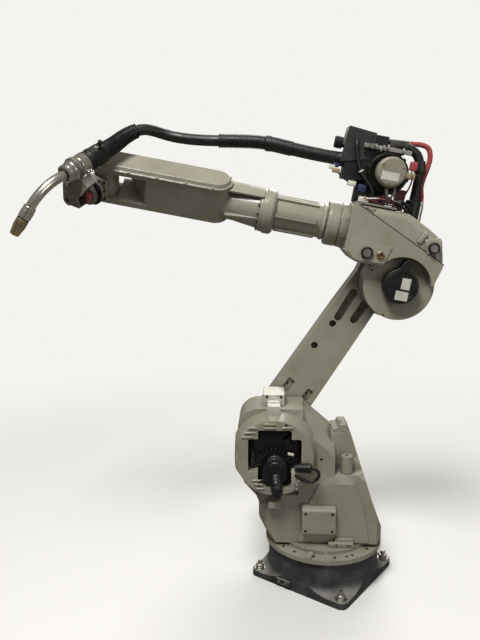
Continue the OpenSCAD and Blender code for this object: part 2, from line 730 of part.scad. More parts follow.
module torch_body() {
  l = clamp_tail_x - gun_tail_x;
  color(black) tool_frame() translate([0, 0, torch_offset]) x_turned([[0, gun_tail_x],
    [gun_r - 2, gun_tail_x], [gun_r, gun_tail_x + 0.2 * l], [gun_r, clamp_tail_x - 0.2 * l],
    [gun_r - 3, clamp_tail_x - 0.15 * l],
    [gun_r - 3, clamp_tail_x], [0, clamp_tail_x]]);
}
neck_end = neck_bend_r * [sin(neck_angle), 0, cos(neck_angle) - 1];
module torch_neck() {
  color(steel) tool_frame() translate([clamp_front_x, 0, torch_offset]) {
    x_cylinder(neck_d / 2, 0, neck_lead + eps);
    translate([neck_lead, 0, -neck_bend_r]) rotate([90, 0, 0]) rotate([0, 0, 90 - neck_angle])
      rotate_extrude(angle = neck_angle) translate([neck_bend_r, 0]) circle(d = neck_d);
    translate([neck_lead, 0, 0] + neck_end) rotate([0, neck_angle, 0]) {
      x_cylinder(neck_d / 2, -eps, sleeve_x + eps);
      x_turned([[0, sleeve_x], [nozzle_d / 2 + 1, sleeve_x], [nozzle_d / 2 + 2, sleeve_x + 2],
        [nozzle_d / 2 + 2, sleeve_l - 2], [nozzle_d / 2, sleeve_l], [0, sleeve_l]]);
    }
  }
}
module torch_nozzle() {
  r = nozzle_d / 2;
  tip = sleeve_l + nozzle_l;
  bore = 0.68 * r;
  color("darkgoldenrod") tool_frame() translate([clamp_front_x + neck_lead, 0, torch_offset] + neck_end)
    rotate([0, neck_angle, 0]) x_turned([[0, sleeve_l], [r - 1, sleeve_l], [r - 1, sleeve_l + 3],
      [r + 0.5, sleeve_l + 3], [r + 0.5, sleeve_l + 0.6 * nozzle_l], [r - 2.5, tip], [bore, tip],
      [bore, tip - 14], [0, tip - 14]]);
}
module torch_cable() {
  color(black) tube(smooth_route(cable_route, 2), cable_d / 2, [0, 0, 1]);
}

base_casting();
connector_box();
swivel_ring();
turntable_casting();
shoulder_motor();
shoulder_plugs();
access_cover();
swivel_stop();
shoulder_stop();
lifting_post();
lower_arm();
lower_arm_caps();
elbow_casting();
elbow_cover();
elbow_motor_cap();
elbow_plugs();
roll_ring();
feeder_plate();
feeder_bracket();
feed_head();
feed_motor();
feed_motor_cap();
feeder_bar();
feeder_guard();
cable_socket();
gas_valve();
lead_plugs();
wire_conduit();
conduit_gland();
gas_hose();
gas_fitting();
forearm_tube();
forearm_collar();
forearm_fork();
belt_cover();
wrist_body();
tool_flange();
crash_sensor();
torch_bracket();
torch_clamp();
torch_body();
torch_neck();
torch_nozzle();
torch_cable();
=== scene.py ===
# %% [markdown]
# # An arc-welding robot arm, dressed
# The arm's solids are packed as a fixed frame: seven bodies on six hinges. This lesson gives them
# the look of a used factory robot: castings become copies with rounded edges, hoses become real
# hoses, and bolts, plugs, labels and wiring are modelled on top. Everything is in metres, in the
# frame's own directions: +Z is up, the arm points along +X, and the camera stands on the +Y side.

# %% Load the frame
import json
import math

import bpy
from mathutils import Matrix, Vector


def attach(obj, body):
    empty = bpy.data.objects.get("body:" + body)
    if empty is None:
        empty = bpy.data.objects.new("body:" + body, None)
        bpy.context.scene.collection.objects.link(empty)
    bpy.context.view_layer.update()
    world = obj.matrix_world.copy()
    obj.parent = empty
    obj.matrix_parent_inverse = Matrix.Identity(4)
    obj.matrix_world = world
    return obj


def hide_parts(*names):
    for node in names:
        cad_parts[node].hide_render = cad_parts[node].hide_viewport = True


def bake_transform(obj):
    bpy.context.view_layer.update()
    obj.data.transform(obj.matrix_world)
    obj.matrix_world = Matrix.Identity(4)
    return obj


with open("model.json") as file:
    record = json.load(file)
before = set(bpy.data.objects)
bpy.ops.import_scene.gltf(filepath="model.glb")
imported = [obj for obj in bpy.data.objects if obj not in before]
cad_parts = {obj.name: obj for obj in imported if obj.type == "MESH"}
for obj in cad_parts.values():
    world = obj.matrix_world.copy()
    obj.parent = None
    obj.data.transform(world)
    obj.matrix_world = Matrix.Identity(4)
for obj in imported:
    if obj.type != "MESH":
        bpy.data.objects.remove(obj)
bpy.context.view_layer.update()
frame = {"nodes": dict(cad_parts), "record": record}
MM = 0.001
BODIES = frame["record"]["behaviour"]["bodies"]
BODY_OF = {node: body for body, nodes in BODIES.items() for node in nodes}

# %% [markdown]
# Each link of the arm has its own directions, in which its details are easy to place: a screw on
# the forearm is written down as if the forearm were level. One matrix per link turns these into
# the frame's directions.

# %% The links' own directions
def turned(degrees, axis):
    return Matrix.Rotation(math.radians(degrees), 4, axis)


def moved(x, y, z):
    return Matrix.Translation(Vector((x, y, z)) * MM)


ROW = Matrix.Identity(4)
LOWER_LENGTH, ROLL_HEIGHT, WRIST_AT = 510, 116, 749  # mm from joint to joint
BASE = turned(-34, "Z")
SHOULDER = moved(130, 0, 350)
LOWER = SHOULDER @ turned(-35.4, "Y")
ELBOW = LOWER @ moved(0, 0, LOWER_LENGTH) @ turned(24.8, "Y")
ROLL = ELBOW @ moved(0, 0, ROLL_HEIGHT) @ turned(-37.5, "X")
BEND = ROLL @ moved(WRIST_AT, 0, 0) @ turned(65, "Z")
TOOL = BEND @ turned(-10.5, "X")
HOME = {"base": BASE, "turntable": SHOULDER, "lower_link": LOWER, "elbow": ELBOW, "forearm": ROLL,
        "wrist": BEND, "tool": TOOL}
print("wrist axis at", [round(c, 3) for c in BEND.translation])

# %% [markdown]
# The camera stands where the photograph was taken: 1.6 m from the arm's middle plane, a little
# under the height of the forearm, looking slightly down. The focal length comes from the picture's
# perspective.

# %% Camera
CAMERA_AT = (0.140, 1.580, 0.922)
CAMERA_DOWN, CAMERA_ASIDE = 9.0, 2.9
SENSOR_MM, FOCAL_PIXELS, LONG_SIDE_PIXELS = 36, 633, 640
camera_data = bpy.data.cameras.new("camera")
camera_data.sensor_width = SENSOR_MM
camera_data.lens = SENSOR_MM * FOCAL_PIXELS / LONG_SIDE_PIXELS
camera = bpy.data.objects.new("camera", camera_data)
bpy.context.collection.objects.link(camera)
camera.location = CAMERA_AT
camera.rotation_euler = [math.radians(a) for a in (90 - CAMERA_DOWN, 0, 180 + CAMERA_ASIDE)]
bpy.context.scene.camera = camera
print("lens", round(camera_data.lens, 1), "mm")

# %% [markdown]
# A plain photo studio: a pale floor that keeps the arm's shadow. A Light Path node tells which
# rays come straight from the camera: for those, floor and room are pale; for light on its way to
# the arm they are darker, so that black stays black. Far out the floor fades into the room.

# %% Colours and nodes
def linear(hex_colour):
    """An sRGB hex colour as the linear values that a shader takes."""
    parts = [int(hex_colour[i : i + 2], 16) / 255 for i in (1, 3, 5)]
    return [p / 12.92 if p <= 0.04045 else ((p + 0.055) / 1.055) ** 2.4 for p in parts] + [1]


def put(tree, kind, settings=(), links=()):
    """Adds a node with its settings and the sockets that feed it."""
    node = tree.nodes.new(kind)
    for key, value in dict(settings).items():
        if isinstance(key, int) or key in node.inputs:
            node.inputs[key].default_value = value
        else:
            setattr(node, key, value)
    for key, socket in dict(links).items():
        tree.links.new(socket, node.inputs[key])
    return node


def blended(tree, share, under, over):
    """One colour laid over another by a share; each is a hex colour or a socket."""
    settings, links = {"data_type": "RGBA"}, {0: share}
    for socket, colour in ((6, under), (7, over)):
        if isinstance(colour, str):
            settings[socket] = linear(colour)
        else:
            links[socket] = colour
    return put(tree, "ShaderNodeMix", settings, links).outputs[2]


def product(tree, a, b):
    """One socket's value times another's."""
    return put(tree, "ShaderNodeMath", {"operation": "MULTIPLY"}, {0: a, 1: b}).outputs[0]


# %% Floor and its fade
BACKDROP = linear("#f4f3f0")
bpy.ops.object.select_all(action="DESELECT")
bpy.ops.mesh.primitive_plane_add(size=14, location=(0, 0, 0))
floor = bpy.context.object
floor.name = "studio_floor"
floor_paint = bpy.data.materials.new("matt studio floor")
floor_paint.use_nodes = True
ground = floor_paint.node_tree
ground.nodes.clear()
ray = put(ground, "ShaderNodeLightPath")
seen = ray.outputs["Is Camera Ray"]
tone = blended(ground, seen, "#6e6b66", "#e6e4df")
matt = put(ground, "ShaderNodeBsdfPrincipled", {"Roughness": 0.9}, {"Base Color": tone})
place = put(ground, "ShaderNodeTexCoord")
from_arm = put(ground, "ShaderNodeVectorMath", {"operation": "LENGTH"}, {0: place.outputs["Object"]})
fade = put(ground, "ShaderNodeMapRange",
           {"interpolation_type": "SMOOTHSTEP", "From Min": 0.7, "From Max": 2.4},
           {"Value": from_arm.outputs["Value"]})
fade_seen = product(ground, fade.outputs["Result"], seen)
far_off = put(ground, "ShaderNodeEmission", {"Color": BACKDROP, "Strength": 1.0})
both = put(ground, "ShaderNodeMixShader", {}, {0: fade_seen, 1: matt.outputs[0], 2: far_off.outputs[0]})
put(ground, "ShaderNodeOutputMaterial", {}, {"Surface": both.outputs[0]})
floor.data.materials.append(floor_paint)
print("floor", floor.name)

# %% [markdown]
# One lamp hangs overhead and a little in front as in the photograph's hall, a weak one stands on
# the right, and one behind lets edges stand out. The pale room all round lights the arm weakly.

# %% Lamps and room
LAMPS_AIM = Vector((0.1, 0, 0.6))
LAMPS = {  # place, size and power
    "key_lamp": ((0.7, 1.5, 3.1), 0.9, 88),
    "fill_lamp": ((-2.4, 2.6, 1.4), 1.6, 20),
    "back_lamp": ((-0.5, -2.2, 2.7), 2.0, 55),
}
for name, (at, size, power) in LAMPS.items():
    lamp_data = bpy.data.lights.new(name, "AREA")
    lamp_data.size = size
    lamp_data.energy = power
    lamp = bpy.data.objects.new(name, lamp_data)
    bpy.context.collection.objects.link(lamp)
    lamp.location = at
    lamp.rotation_euler = (LAMPS_AIM - Vector(at)).to_track_quat("-Z", "Y").to_euler()

world = bpy.data.worlds.new("pale room")
bpy.context.scene.world = world
world.use_nodes = True
room = world.node_tree
room.nodes.clear()
ray = put(room, "ShaderNodeLightPath")
light = put(room, "ShaderNodeBackground", {"Color": linear("#f3f2ee"), "Strength": 0.26})
backdrop = put(room, "ShaderNodeBackground", {"Color": BACKDROP, "Strength": 1.0})
either = put(room, "ShaderNodeMixShader", {},
             {0: ray.outputs["Is Camera Ray"], 1: light.outputs[0], 2: backdrop.outputs[0]})
put(room, "ShaderNodeOutputWorld", {}, {"Surface": either.outputs[0]})
bpy.context.scene.view_settings.view_transform = "Standard"
print("lamps", list(LAMPS))

# %% [markdown]
# Nearly everything on a factory robot is coated metal, bare metal, plastic or rubber that has seen
# years of dust. One function lays down what they share: a main tone that varies in soft patches,
# painted shade where Ambient Occlusion finds a nook, rubbed edges, pale dust on faces that look up,
# a fine grain, and gloss that varies with the patches. Each pattern's size is a real one in millimetres.

# %% Weathering and painted shade in nooks
DUST = "#a8a294"


def ramp(tree, value, low, high, least=0.0, most=1.0):
    """A value's range, mapped onto another one."""
    limits = {"From Min": low, "From Max": high, "To Min": least, "To Max": most}
    return put(tree, "ShaderNodeMapRange", limits, {"Value": value}).outputs["Result"]


def weathered_and_shaded(name, main, tone, nook_shade_colour, patch_mm, grain_mm, rough, metal=0.0, relief_mm=0.05,
              dust=0.0, nook=0.6, nook_mm=22, wear=0.0, wear_tone="#cfcabb"):
    made = bpy.data.materials.new(name)
    made.use_nodes = True
    tree = made.node_tree
    tree.nodes.clear()
    place = put(tree, "ShaderNodeTexCoord")
    where = {"Vector": place.outputs["Object"]}
    noise = put(tree, "ShaderNodeTexNoise", {"Scale": 1000 / patch_mm, "Detail": 7, "Roughness": 0.62}, where)
    grain = put(tree, "ShaderNodeTexNoise", {"Scale": 1000 / grain_mm, "Detail": 3}, where)
    patches = noise.outputs["Fac"]
    spread = ramp(tree, patches, 0.36, 0.66)
    colour = blended(tree, spread, main, tone)
    # Painted shade: where Ambient Occlusion finds a nook, the colour darkens towards the third colour given.
    corner = put(tree, "ShaderNodeAmbientOcclusion", {"samples": 8, "Distance": nook_mm * MM})
    colour = blended(tree, ramp(tree, corner.outputs["AO"], 0.78, 0.25, 0, nook), colour, nook_shade_colour)
    if wear:
        shape = put(tree, "ShaderNodeNewGeometry")
        edge = ramp(tree, shape.outputs["Pointiness"], 0.53, 0.62, 0, wear)
        colour = blended(tree, product(tree, edge, spread), colour, wear_tone)
    if dust:
        up = put(tree, "ShaderNodeSeparateXYZ", {}, {0: place.outputs["Normal"]})
        lying = ramp(tree, up.outputs["Z"], 0.35, 1.0, 0, dust)
        colour = blended(tree, product(tree, lying, patches), colour, DUST)
    gloss = ramp(tree, patches, 0.3, 0.7, rough - 0.08, rough + 0.1)
    relief = put(tree, "ShaderNodeBump", {"Strength": 0.6, "Distance": relief_mm * MM},
                 {"Height": grain.outputs["Fac"]})
    shader = put(tree, "ShaderNodeBsdfPrincipled", {"Metallic": metal},
                 {"Base Color": colour, "Roughness": gloss, "Normal": relief.outputs["Normal"]})
    put(tree, "ShaderNodeOutputMaterial", {}, {"Surface": shader.outputs[0]})
    print("finish", name)
    return made


# %% [markdown]
# The castings wear two-pack enamel in a warm grey: semi-gloss, slightly wavy like orange peel,
# darker where hands and oil have been and paler on rubbed edges. The base has a dark primer under
# grey dust. Motors and covers are satin black.

# %% Painted finishes
# The third colour of each finish is painted shade, laid into its nooks.
enamel = weathered_and_shaded(
    "two-pack enamel on cast iron", "#949080", "#86826f", "#3f3c32", 70, 3.0, 0.24, nook=0.56,
    wear=0.5)
primer = weathered_and_shaded(
    "dark primer on cast iron", "#25282a", "#4b4c4a", "#131415", 48, 2.5, 0.58, relief_mm=0.25,
    dust=0.9, nook=0.4, wear=0.5, wear_tone="#77756e")
satin_black = weathered_and_shaded(
    "satin black motor lacquer", "#0a0a0a", "#10100f", "#040404", 30, 1.6, 0.40, dust=0.10)
sheet_black = weathered_and_shaded(
    "black powder coat on steel sheet", "#181818", "#212120", "#0a0a0a", 35, 1.2, 0.52,
    relief_mm=0.08, dust=0.15, wear=0.35, wear_tone="#6b6a66")
feeder_cast = weathered_and_shaded(
    "bead-blasted aluminium casting", "#8f8976", "#7d7765", "#3d392f", 22, 1.0, 0.52,
    metal=0.25, relief_mm=0.06)
sensor_cast = weathered_and_shaded(
    "grey anodised aluminium", "#8d8779", "#79736a", "#3a362f", 25, 1.2, 0.45, metal=0.45,
    relief_mm=0.04)

# %% [markdown]
# Rubber and plastic: hose rubber is a dull near-black that scuffs grey, the gas hose a faded red,
# and plugs are moulded nylon. They scatter light, so they keep a high roughness and no metal.

# %% Rubber and plastic
# The third colour of each finish is painted shade, laid into its nooks and between hose ribs.
hose_rubber = weathered_and_shaded(
    "black hose rubber", "#0b0b0a", "#121110", "#040404", 18, 0.9, 0.42, relief_mm=0.04,
    dust=0.05, nook=0.85, nook_mm=5, wear=0.7, wear_tone="#4f4d49")
red_rubber = weathered_and_shaded(
    "red gas-hose rubber", "#8e3331", "#a04543", "#431716", 20, 0.9, 0.5, relief_mm=0.04)
nylon = weathered_and_shaded(
    "black moulded nylon", "#0f0f0f", "#161615", "#060606", 14, 0.8, 0.42, relief_mm=0.04,
    dust=0.1)
ivory_plastic = weathered_and_shaded(
    "ivory moulded plastic", "#d5d1c2", "#c4bfae", "#7b7566", 12, 0.9, 0.45, relief_mm=0.03)
sticker = weathered_and_shaded(
    "faded vinyl sticker", "#c2c1b4", "#b1afa2", "#8a877a", 14, 0.7, 0.5, relief_mm=0.02,
    nook=0.1)
blue_plastic = weathered_and_shaded(
    "blue moulded plastic", "#1c2547", "#262f55", "#0d1124", 12, 0.8, 0.45, relief_mm=0.03)
red_plastic = weathered_and_shaded(
    "dark red moulded plastic", "#5a2425", "#6d2c2c", "#2a1011", 12, 0.8, 0.4, relief_mm=0.03)
tan_plastic = weathered_and_shaded(
    "tan moulded plastic", "#9c8a6a", "#8c7a5b", "#4a3f2c", 12, 0.8, 0.45, relief_mm=0.03)

# %% [markdown]
# Bare metals keep the default IOR and full metallic: zinc plate is pale and slightly cloudy,
# machined steel grey with fine turning marks, the swan neck nickel plated and the gas nozzle
# brass, browned by heat. Milled, phosphated and oxide-black metal have a dull skin, so they are
# less metallic.

# %% Bare metals
# The third colour of each finish is painted shade, laid into its nooks.
zinc = weathered_and_shaded(
    "zinc plate on steel bolts", "#c9c7bf", "#a9a69c", "#55524a", 9, 0.8, 0.36, metal=1.0,
    relief_mm=0.03, nook=0.5, nook_mm=8)
machined = weathered_and_shaded(
    "machined steel", "#b5b1a4", "#98948a", "#4a473f", 16, 0.7, 0.34, metal=1.0, relief_mm=0.03)
cast_alu = weathered_and_shaded(
    "milled aluminium block", "#d9d6c9", "#c4c0b2", "#77736a", 26, 1.1, 0.42, metal=0.55,
    relief_mm=0.04, nook=0.4)
nickel = weathered_and_shaded(
    "nickel plate on copper tube", "#dedacf", "#ccc7ba", "#5b5549", 30, 1.6, 0.24, metal=1.0,
    relief_mm=0.006, nook_mm=8)
hot_brass = weathered_and_shaded(
    "brass browned by heat", "#c8b894", "#a8946e", "#3c3428", 14, 0.9, 0.30, metal=1.0,
    relief_mm=0.02, nook_mm=8)
phosphate = weathered_and_shaded(
    "phosphated steel plate", "#807b6c", "#6c675a", "#2f2b23", 18, 1.0, 0.42, metal=0.4)
brass = weathered_and_shaded(
    "turned brass", "#b49a62", "#9c8450", "#4c3f24", 9, 0.6, 0.32, metal=1.0, relief_mm=0.03)
oxide = weathered_and_shaded(
    "black-oxide steel screws", "#3a3937", "#2a2928", "#121211", 7, 0.6, 0.42, metal=0.9,
    relief_mm=0.03)
print("materials", len(bpy.data.materials))

# %% [markdown]
# A few tools do the moves that come back all through the lesson. Operators act on whatever is
# selected, so each tool first makes its own piece the only selected one.

# %% Picking and opening pieces
def pick(piece):
    """Makes a piece the only selected one and the active one."""
    bpy.ops.object.select_all(action="DESELECT")
    piece.select_set(True)
    bpy.context.view_layer.objects.active = piece


def added(name, data):
    """A new object round a mesh or curve, in the scene and picked."""
    piece = bpy.data.objects.new(name, data)
    bpy.context.collection.objects.link(piece)
    pick(piece)
    return piece


def mode(name):
    bpy.ops.object.mode_set(mode=name)


def open_all(piece):
    """Opens a piece in edit mode with everything selected."""
    pick(piece)
    mode("EDIT")
    bpy.ops.mesh.select_all(action="SELECT")


def close_outward():
    """Turns the selected faces outward and leaves edit mode."""
    bpy.ops.mesh.normals_make_consistent(inside=False)
    mode("OBJECT")


# %% [markdown]
# Pieces start as one of three blanks, modelled in a link's own directions in millimetres: a block
# with bevelled edges, a profile spun as on a lathe, or an outline extruded to a plate.

# %% Three kinds of blanks
def round_edges(piece, width, segments=2, sharper_than=30, miter="MITER_SHARP"):
    """Rounds every edge that is sharper than an angle, as a cutter or a mould leaves it."""
    pick(piece)
    edge = piece.modifiers.new("rounded edges", "BEVEL")
    edge.width = width * MM
    edge.segments = segments
    edge.limit_method = "ANGLE"
    edge.angle_limit = math.radians(sharper_than)
    edge.miter_outer = miter
    bpy.ops.object.modifier_apply(modifier=edge.name)
    return piece


def block(name, low, high, bevel=1.0, segments=2):
    """A block between two corners, with its edges bevelled."""
    low, high = Vector(low), Vector(high)
    bpy.ops.object.select_all(action="DESELECT")
    bpy.ops.mesh.primitive_cube_add(size=1, location=(low + high) / 2 * MM, scale=(high - low) * MM)
    piece = bpy.context.object
    piece.name = name
    bpy.ops.object.transform_apply(location=True, rotation=True, scale=True)
    open_all(piece)
    bpy.ops.mesh.bevel(offset=bevel * MM, segments=segments, affect="EDGES")
    mode("OBJECT")
    return piece


TURN_TO = {"Z": ROW, "X": turned(90, "Y"), "Y": turned(-90, "X")}


def lathe(name, profile, axis="Z", at=(0, 0, 0), steps=36):
    """A turned piece: a profile of (radius, place) spun about an axis through a point."""
    mesh = bpy.data.meshes.new(name)
    corners = [(r * MM, 0, z * MM) for r, z in profile]
    mesh.from_pydata(corners, [(i, i + 1) for i in range(len(corners) - 1)], [])
    piece = added(name, mesh)
    open_all(piece)
    bpy.ops.mesh.spin(steps=steps, angle=2 * math.pi, center=(0, 0, 0), axis=(0, 0, 1))
    bpy.ops.mesh.select_all(action="SELECT")
    bpy.ops.mesh.remove_doubles(threshold=1e-6)
    close_outward()
    mesh.transform(moved(*at) @ TURN_TO[axis])
    return piece


def plate(name, outline, y0, y1, bevel=0.8, segments=2):
    """A flat piece: an outline of (x, z) points extruded from y0 to y1, with its edges rounded."""
    mesh = bpy.data.meshes.new(name)
    mesh.from_pydata([(x * MM, y0 * MM, z * MM) for x, z in outline], [], [range(len(outline))])
    piece = added(name, mesh)
    open_all(piece)
    bpy.ops.mesh.extrude_region_move(TRANSFORM_OT_translate={"value": (0, (y1 - y0) * MM, 0)})
    bpy.ops.mesh.select_all(action="SELECT")
    close_outward()
    return round_edges(piece, bevel, segments) if bevel else piece


# %% [markdown]
# What repeats is modelled once and copied, each copy with its own mesh. settle() turns a finished
# mesh into its place, gives it its finish and lets it ride on its body.

# %% Copies, joins and places
def joined(name, parts):
    """Joins pieces into one."""
    bpy.ops.object.select_all(action="DESELECT")
    for part in parts:
        part.select_set(True)
    bpy.context.view_layer.objects.active = parts[0]
    if len(parts) > 1:
        bpy.ops.object.join()
    parts[0].name = name
    return parts[0]


def copies(name, template, places):
    """One piece of copies of a template, each with its own mesh, in place of the template."""
    made = []
    for place in places:
        one = added(name, template.data.copy())
        one.data.transform(place)
        made.append(one)
    bpy.data.objects.remove(template)
    return joined(name, made)


def settle(piece, body, surface, *stands_for, at=ROW, slot=None, smooth=35):
    """Puts a finished piece on its body, at a place in the body's own directions, with its finish.
    A piece that was made in the frame's directions has no place."""
    if at is not None:
        piece.data.transform(HOME[body] @ at)
    piece.data.materials.clear()
    piece.data.materials.append(surface)
    pick(piece)
    bpy.ops.object.shade_smooth_by_angle(angle=math.radians(smooth))
    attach(piece, body)
    if stands_for:
        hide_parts(*stands_for)
    print(piece.name, len(piece.data.polygons), "faces on", body)


# %% [markdown]
# The torch cable runs from the feeder's socket over the forearm to the torch, about 0.6 m, and the
# photograph shows all of it: a rubber hose with a ribbed guard near each end. It crosses three
# hinges, so it is made in three lengths that meet end to end: one from the elbow to the forearm,
# one to the wrist, one to the tool. Each is a mesh tube: rings of points along a smooth line, with
# the ribs in the rings' radius.

# %% The cable's route
def smooth_line(points, spacing):
    """Points on a Catmull-Rom curve through a route in mm, evenly spaced, in metres."""
    route = [Vector(p) * MM for p in points]
    fine = []
    for i in range(len(route) - 1):
        a, b, c, d = (route[max(0, min(len(route) - 1, k))] for k in (i - 1, i, i + 1, i + 2))
        for t in (k / 12 for k in range(12)):
            fine.append((2 * b + (c - a) * t + (2 * a - 5 * b + 4 * c - d) * t**2
                         + (3 * b - a - 3 * c + d) * t**3) / 2)
    fine.append(route[-1])
    gone = [0.0]
    for p, q in zip(fine, fine[1:]):
        gone.append(gone[-1] + (q - p).length)
    count = max(2, round(gone[-1] / (spacing * MM)))
    line, k = [], 0
    for i in range(count + 1):
        far = gone[-1] * i / count
        while k < len(gone) - 2 and gone[k + 1] < far:
            k += 1
        share = (far - gone[k]) / max(gone[k + 1] - gone[k], 1e-9)
        line.append(fine[k].lerp(fine[k + 1], share))
    return line


def length_of(line):
    return sum((q - p).length for p, q in zip(line, line[1:]))


def hose(name, line, radius_at, sides=20):
    """A tube of rings along a line; radius_at gives a ring's radius in mm from its place."""
    corners, faces = [], []
    side = (line[1] - line[0]).orthogonal().normalized()
    for i, p in enumerate(line):
        along = (line[min(i + 1, len(line) - 1)] - line[max(i - 1, 0)]).normalized()
        side = (side - side.dot(along) * along).normalized()
        other = along.cross(side)
        r = radius_at(i, p) * MM
        corners += [p + r * (math.cos(a) * side + math.sin(a) * other)
                    for a in (2 * math.pi * k / sides for k in range(sides))]
    for i in range(len(line) - 1):
        for k in range(sides):
            n = (k + 1) % sides
            faces.append((i * sides + k, i * sides + n, (i + 1) * sides + n, (i + 1) * sides + k))
    faces.append(tuple(reversed(range(sides))))
    faces.append(tuple((len(line) - 1) * sides + k for k in range(sides)))
    mesh = bpy.data.meshes.new(name)
    mesh.from_pydata(corners, [], faces)
    piece = added(name, mesh)
    open_all(piece)
    close_outward()
    return piece


CABLE_ROUTE = [
    (533.3, 91.3, 1076.9), (530.3, 87.2, 1079.5), (526.3, 81.6, 1083.1), (514.2, 65, 1094.6),
    (502, 50.4, 1107.4), (488.5, 38.6, 1119.6), (468.6, 26.6, 1131.6), (448.1, 15, 1136.6),
    (428.1, 2.9, 1134.3), (406.8, -5, 1128.4), (384.7, -7.9, 1122.8), (362.1, -5.8, 1118.5),
    (340, -0.9, 1115.1), (318, 4.3, 1112.7), (295.8, 8.4, 1111), (273.2, 11.1, 1110),
    (250.4, 12.9, 1109.2), (227.6, 14.2, 1108.5), (204.7, 15.3, 1107.6), (181.7, 16.5, 1106.1),
    (158.8, 17.5, 1103.4), (135.9, 18.3, 1099.3), (113.2, 18.8, 1093.9), (90.2, 19.2, 1088.5),
    (67.1, 19.5, 1083.2), (43.7, 19.7, 1078.1), (20.1, 20, 1073.4), (2, 20, 1070),
]
RING_GAP = 1.4  # mm from ring to ring, a quarter of a rib
cable_line = smooth_line(CABLE_ROUTE[::-1], RING_GAP)
print("torch cable", round(length_of(cable_line), 3), "m")

# %% The cable's three lengths
SLEEVE_FROM, SLEEVE_TO, SLEEVE_RIM = 0.095, 0.157, 0.012  # metres along X
SMOOTH_FROM, SMOOTH_TO, SWELL = 0.270, 0.466, 0.055


def cable_radius(i, p):
    """A ring's radius in mm: thick at the feeder, a sleeve, a ribbed guard, the bare hose, and a
    ribbed guard that swells to the torch."""
    raised = i % 4 in (1, 2)
    if p.x < SLEEVE_FROM:
        return 16.0
    if p.x < SLEEVE_TO:
        return 17.6 if p.x < SLEEVE_TO - SLEEVE_RIM else 18.6
    if p.x < SMOOTH_FROM:
        return 16.9 if raised else 14.7
    if p.x < SMOOTH_TO:
        return 13.2
    torchward = min(1.0, (p.x - SMOOTH_TO) / SWELL)
    return (17.2 if raised else 14.8) + 3.4 * torchward


third = len(cable_line) // 3
# first and last ring, the two bodies, the shares of the length where its bend starts and ends, thickness
LENGTHS = {
    "torch_cable_rear": (0, third, "elbow", "forearm", 0.25, 1.0, 0.032),
    "torch_cable_middle": (third, 2 * third, "forearm", "wrist", 0.35, 1.0, 0.030),
    "torch_cable_front": (2 * third, len(cable_line) - 1, "wrist", "tool", 0.0, 0.75, 0.0325),
}
for name, (first, last, near, far, start, end, thick) in LENGTHS.items():
    line = cable_line[first : last + 1]
    piece = hose(name, line, lambda i, p: cable_radius(i + first, p))
    piece.data.materials.append(hose_rubber)
    bpy.ops.object.shade_smooth_by_angle(angle=math.radians(30))
    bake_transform(piece)
    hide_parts("torch_cable")
    print(name, round(length_of(line), 3), "m from", near, "to", far)

# %% [markdown]
# Two shorter hoses feed the wire feeder from the elbow: the thick wire conduit, ribbed, and the
# thin red gas hose. Both start and end on the elbow, so they simply ride on it.

# %% Conduit and gas hose
CONDUIT_ROUTE = [(98, 18, 320), (70, 18, 322), (44, 17, 320), (22, 15, 310), (10, 13, 290), (5, 11, 262),
                 (4, 11, 232), (4, 11, 204)]
GAS_ROUTE = [(95, -12, 324), (70, -12, 330), (40, -12, 335), (10, -12, 338), (-8, -12, 332), (-16, -12, 314),
             (-16, -12, 290), (-12, -12, 264), (-11, -12, 240), (-17, -12, 216), (-18, -12, 196)]
SHORT_HOSES = {  # route, ring gap, radius, thickness, rubber and the solid it stands for
    "wire_conduit_hose": (CONDUIT_ROUTE, RING_GAP, lambda i, p: 10.6 + 0.8 * (i % 4 in (1, 2)), 0.022,
                          hose_rubber, "wire_conduit"),
    "red_gas_hose": (GAS_ROUTE, 3.0, lambda i, p: 6.2, 0.0125, red_rubber, "gas_hose"),
}
for name, (route, gap, radius_at, thick, rubber, node) in SHORT_HOSES.items():
    line = [ELBOW @ p for p in smooth_line(route, gap)]
    piece = hose(name, line, radius_at)
    settle(piece, "elbow", rubber, node, at=None)
    print(name, round(length_of(line), 3), "m")

# %% [markdown]
# Each goes from a plug or gland into the object again.

# %% Leads
def lead(name, body, route, thick, surface):
    curve = bpy.data.curves.new(name, "CURVE")
    curve.dimensions = "3D"
    curve.bevel_depth = thick / 2 * MM
    curve.bevel_resolution = 3
    curve.use_fill_caps = True
    line = [HOME[body] @ p for p in smooth_line(route, max(2.0, thick / 2))]
    spline = curve.splines.new("POLY")
    spline.points.add(len(line) - 1)
    for point, p in zip(spline.points, line):
        point.co = (*p, 1)
        point.radius = 1
    spline.use_smooth = True
    piece = added(name, curve)
    curve.materials.append(surface)
    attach(piece, body)
    print(name, round(length_of(line), 3), "m")


MOTOR_ROUTE = [(-88, 122, -20), (-96, 122, -21), (-104, 122, -27), (-107, 121, -38), (-102, 120, -49),
               (-90, 119, -55), (-76, 119, -54), (-62, 118, -48), (-50, 112, -42), (-40, 104, -38)]
CAP_ROUTE = [(2, 64, 44), (-1, 67, 54), (-5, 68, 62), (-10, 66, 70), (-15, 60, 78), (-17, 56, 84)]
GUARD_ROUTE = [(169, 36, 316), (169, 44, 313), (169, 48, 304), (167, 48, 290), (161, 48, 274), (155, 49, 260),
               (147, 51, 246), (132, 55, 228), (116, 58, 212), (110, 58, 198), (112, 56, 186)]
lead("shoulder_motor_lead", "turntable", MOTOR_ROUTE, 8, nylon)
lead("elbow_motor_lead", "elbow", CAP_ROUTE, 6, nylon)
lead("guard_cable", "elbow", GUARD_ROUTE, 9, nylon)
WIRES = {"red_wire": (red_plastic, 0), "blue_wire": (blue_plastic, 5), "ivory_wire": (ivory_plastic, 10)}
